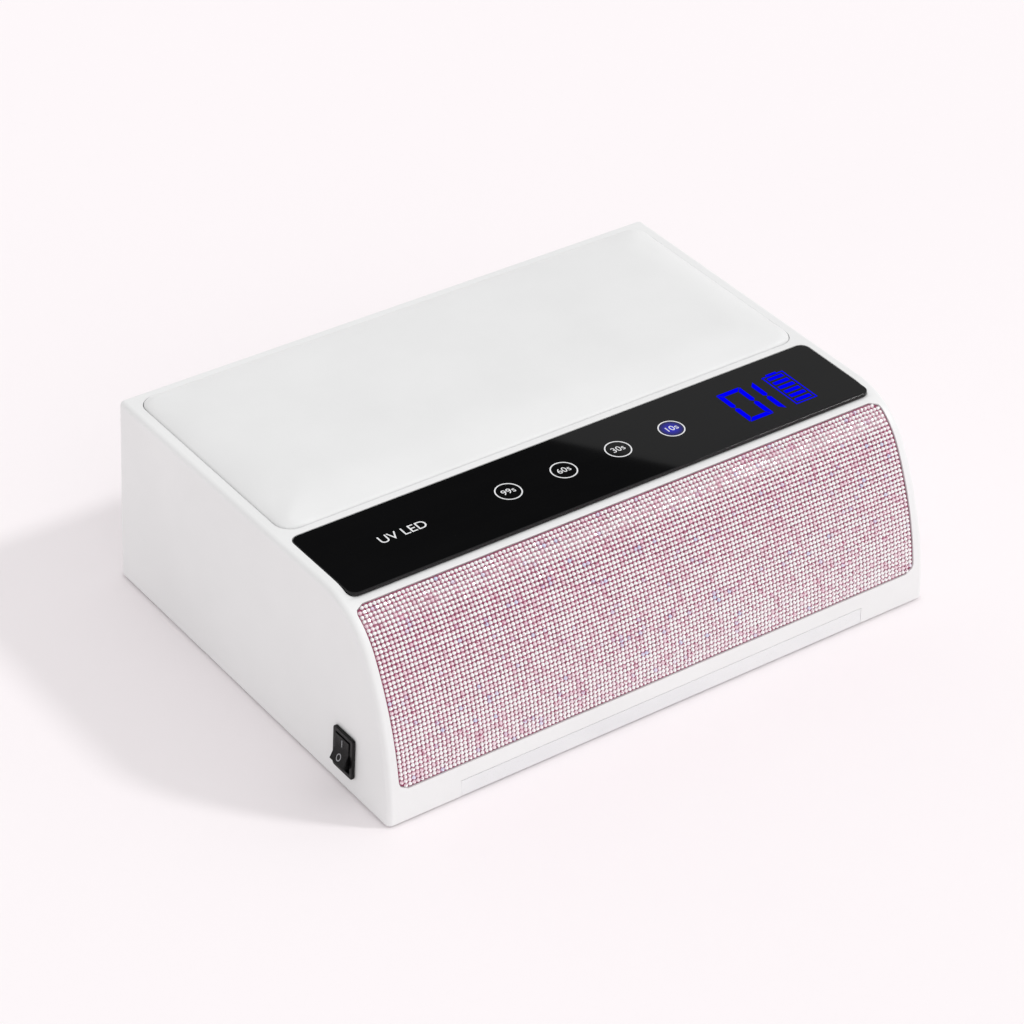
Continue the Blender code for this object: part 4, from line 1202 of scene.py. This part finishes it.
# Switch and inlet


rocker = {
    "pivot": -0.0037, "tilt": math.radians(13), "end": 0.0075, "reach": 0.0064,
    "markAt": 0.0034, "markHalf": 0.0018, "markLine": 0.00045, "markThick": 0.00006, "markNarrow": 0.8,
}


def makeSwitch():
    softened("switchHousing", "switch_housing", blackNylon, 0.00025)
    softened("switchRocker", "switch_rocker", blackNylon, 0.00035)
    at, tilt, thick = rocker["markAt"], rocker["tilt"], rocker["markThick"]
    pivot = switchMount @ Matrix.Translation((0, 0, rocker["pivot"])) @ Matrix.Rotation(tilt, 4, "Y")
    height = rocker["end"] - (rocker["reach"] - at) * math.tan(tilt) + marks["lift"]
    upper = Matrix.Translation((at, 0, height)) @ Matrix.Rotation(-tilt, 4, "Y")
    lower = Matrix.Translation((-at, 0, height)) @ Matrix.Rotation(tilt, 4, "Y")
    half, line = rocker["markHalf"], rocker["markLine"]
    stroke = box((-half, -line / 2, 0), (half, line / 2, thick))
    stroke.transform(upper)
    circle = ringShape(half, line, 0, thick, 32)
    circle.transform(lower @ Matrix.Diagonal((1.0, rocker["markNarrow"], 1.0, 1.0)))
    addTo(makePiece("switchMarks", pour([stroke, circle]), greyInk, pivot), "switch_rocker")


def makeJack():
    shell = [
        (0, -0.0110), (0.0038, -0.0110), (0.0038, 0.0003), (0.0052, 0.0003), (0.0055, 0.0005),
        (0.0055, 0.0012), (0.0051, 0.0016), (0.0031, 0.0016), (0.0028, 0.0013), (0.0028, -0.0090),
        (0, -0.0090),
    ]
    join(makePiece("dcJack", turned(shell, 48), blackNylon, jackMount), "dc_jack")
    pin = [(0, -0.0089), (0.0010, -0.0089), (0.0010, -0.0002), (0.0007, 0.0002), (0, 0.0004)]
    addTo(makePiece("dcJackPin", turned(pin, 24), nickel, jackMount), "dc_jack")


def makeTray():
    # the lip's two ends stand closer to the housing than its top edge, so they hardly show
    shape = copyShape("base_tray")
    for vert in shape.verts:
        if abs(vert.co.x) > tray["halfWidth"] - 1e-5 and vert.co.y < frontY + tray["lip"]:
            vert.co.x = math.copysign(tray["halfWidth"] + gap - tray["endGap"], vert.co.x)
    join(roundEdges(makePiece("baseTray", shape, trayWhite), 0.00015), "base_tray")


makeSwitch()
makeJack()
makeTray()
softened("bottomFrame", "bottom_frame", whiteAbs, 0.0003)
print("switch, inlet, tray and frame made")


# The nodes that keep their CAD shape


finishOf = {
    "white_abs": whiteAbs, "liner_white": linerWhite, "tray_white": trayWhite, "pu_leather": puLeather,
    "fibreboard": rawFibreboard, "tinted_acrylic": tintedPanel, "rhinestones": resinStone,
    "black_nylon": blackNylon, "rubber": blackRubber, "circuit_board": greenBoard,
    "aluminium_board": whiteBoard,
    "steel": zincSteel, "brass": rolledBrass, "magnet": nickel, "cell_wrap": shrinkWrap,
    "display": displayBlock, "wire": redInsulation,
}
for nodeName, node in frame["nodes"].items():
    node.data.materials.clear()
    node.data.materials.append(finishOf[slotOf[nodeName]])


# Floor, light and camera


studio = {
    "floor": 5.0, "floorColour": ("FCF6F8", "FDF7F9"),
    "world": 0.845, "worldSwing": 0.075, "worldFrom": (0.6, -0.8, 0.0),
    "sun": 0.78, "sunSpread": math.radians(7), "sunFrom": (0.845, -0.57, 1.0),
    "cardAway": 1.2, "cardApart": 0.03, "cardHalf": (0.36, 0.24), "darkCard": 0.05, "paleCard": 0.42,
    "paleTop": (-0.034, -0.183),  # height of the pale card's slanted top edge in the middle, and its slope
}
view = {"azimuth": -37.066, "elevation": 35.061, "roll": 2.160, "distance": 1.6232, "lens": 124.91}
target = Vector((-0.00735, 0, 0.04365 + base))
azimuth, elevation, roll = (math.radians(view[key]) for key in ("azimuth", "elevation", "roll"))
back = Vector((math.sin(azimuth), -math.cos(azimuth), math.tan(elevation))).normalized()


def makeFloor():
    shape = turned([(0, -0.02), (studio["floor"], -0.02), (studio["floor"], 0), (0, 0)], 64)
    low, high = studio["floorColour"]
    finish = mouldedFinish("paleSweep", {
        "dark": low, "light": high, "patch": 0.5, "grain": 0.003, "relief": 0.02, "rough": (0.7, 0.8),
        "fixed": {"Specular IOR Level": 0.1},
    })
    makePiece("floor", shape, finish)


def makeSun():
    sun = bpy.data.lights.new("keySun", "SUN")
    sun.energy = studio["sun"]
    sun.angle = studio["sunSpread"]
    made = bpy.data.objects.new("keySun", sun)
    made.rotation_euler = Vector(studio["sunFrom"]).to_track_quat("Z", "Y").to_euler()
    bpy.context.scene.collection.objects.link(made)


def makeWorld():
    # an even white dome, a little brighter towards the front right
    world = bpy.data.worlds.new("studio")
    world.use_nodes = True
    tree = world.node_tree
    way = addNode(tree, "ShaderNodeTexCoord").outputs["Generated"]
    towards = addNode(tree, "ShaderNodeVectorMath", {0: way, 1: studio["worldFrom"]}, operation="DOT_PRODUCT")
    middle, swing = studio["world"], studio["worldSwing"]
    glow = addNode(tree, "ShaderNodeMapRange", {
        "Value": towards.outputs["Value"], "From Min": -1.0, "From Max": 1.0,
        "To Min": middle - swing, "To Max": middle + swing,
    })
    dome = tree.nodes["Background"]
    dome.inputs["Color"].default_value = (1, 1, 1, 1)
    tree.links.new(glow.outputs["Result"], dome.inputs["Strength"])
    bpy.context.scene.world = world


def makeCard(name, corners, away, glow):
    # a studio card that shows only in gloss, across the way the control panel mirrors the camera
    mirrored = Vector((-back.x, -back.y, back.z))
    across = Vector((0, 0, 1)).cross(mirrored).normalized()
    above = mirrored.cross(across)
    middle = Vector((0, frontY + 0.0645, rim)) + mirrored * away
    shape = bmesh.new()
    near = away / studio["cardAway"]
    shape.faces.new([shape.verts.new(middle + across * u * near + above * w * near) for u, w in corners])
    material = bpy.data.materials.new(name)
    material.use_nodes = True
    shine = addNode(material.node_tree, "ShaderNodeEmission", {"Strength": glow})
    out = material.node_tree.nodes["Material Output"]
    material.node_tree.links.new(shine.outputs["Emission"], out.inputs["Surface"])
    card = makePiece(name, shape, material)
    card.visible_camera = False
    card.visible_diffuse = False
    card.visible_shadow = False
    card.visible_transmission = False


def makeCards():
    half, tall = studio["cardHalf"]
    away = studio["cardAway"]
    dark = [(-half, -tall), (half, -tall), (half, tall), (-half, tall)]
    makeCard("darkCard", dark, away, studio["darkCard"])
    middle, slope = studio["paleTop"]
    pale = [(-half, -tall), (half, -tall), (half, middle + slope * half), (-half, middle - slope * half)]
    makeCard("paleCard", pale, away - studio["cardApart"], studio["paleCard"])


def makeCamera():
    across = Vector((0, 0, 1)).cross(back).normalized()
    up = back.cross(across)
    right = across * math.cos(roll) + up * math.sin(roll)
    above = up * math.cos(roll) - across * math.sin(roll)
    lens = bpy.data.cameras.new("camera")
    lens.lens = view["lens"]
    lens.sensor_width = 36
    camera = bpy.data.objects.new("camera", lens)
    turn = Matrix((right, above, back)).transposed().to_4x4()
    camera.matrix_world = Matrix.Translation(target + back * view["distance"]) @ turn
    bpy.context.scene.collection.objects.link(camera)
    bpy.context.scene.camera = camera


makeFloor()
makeSun()
makeWorld()
makeCards()
bpy.context.scene.view_settings.view_transform = "Standard"
makeCamera()
print("stage set")

bpy.context.view_layer.update()
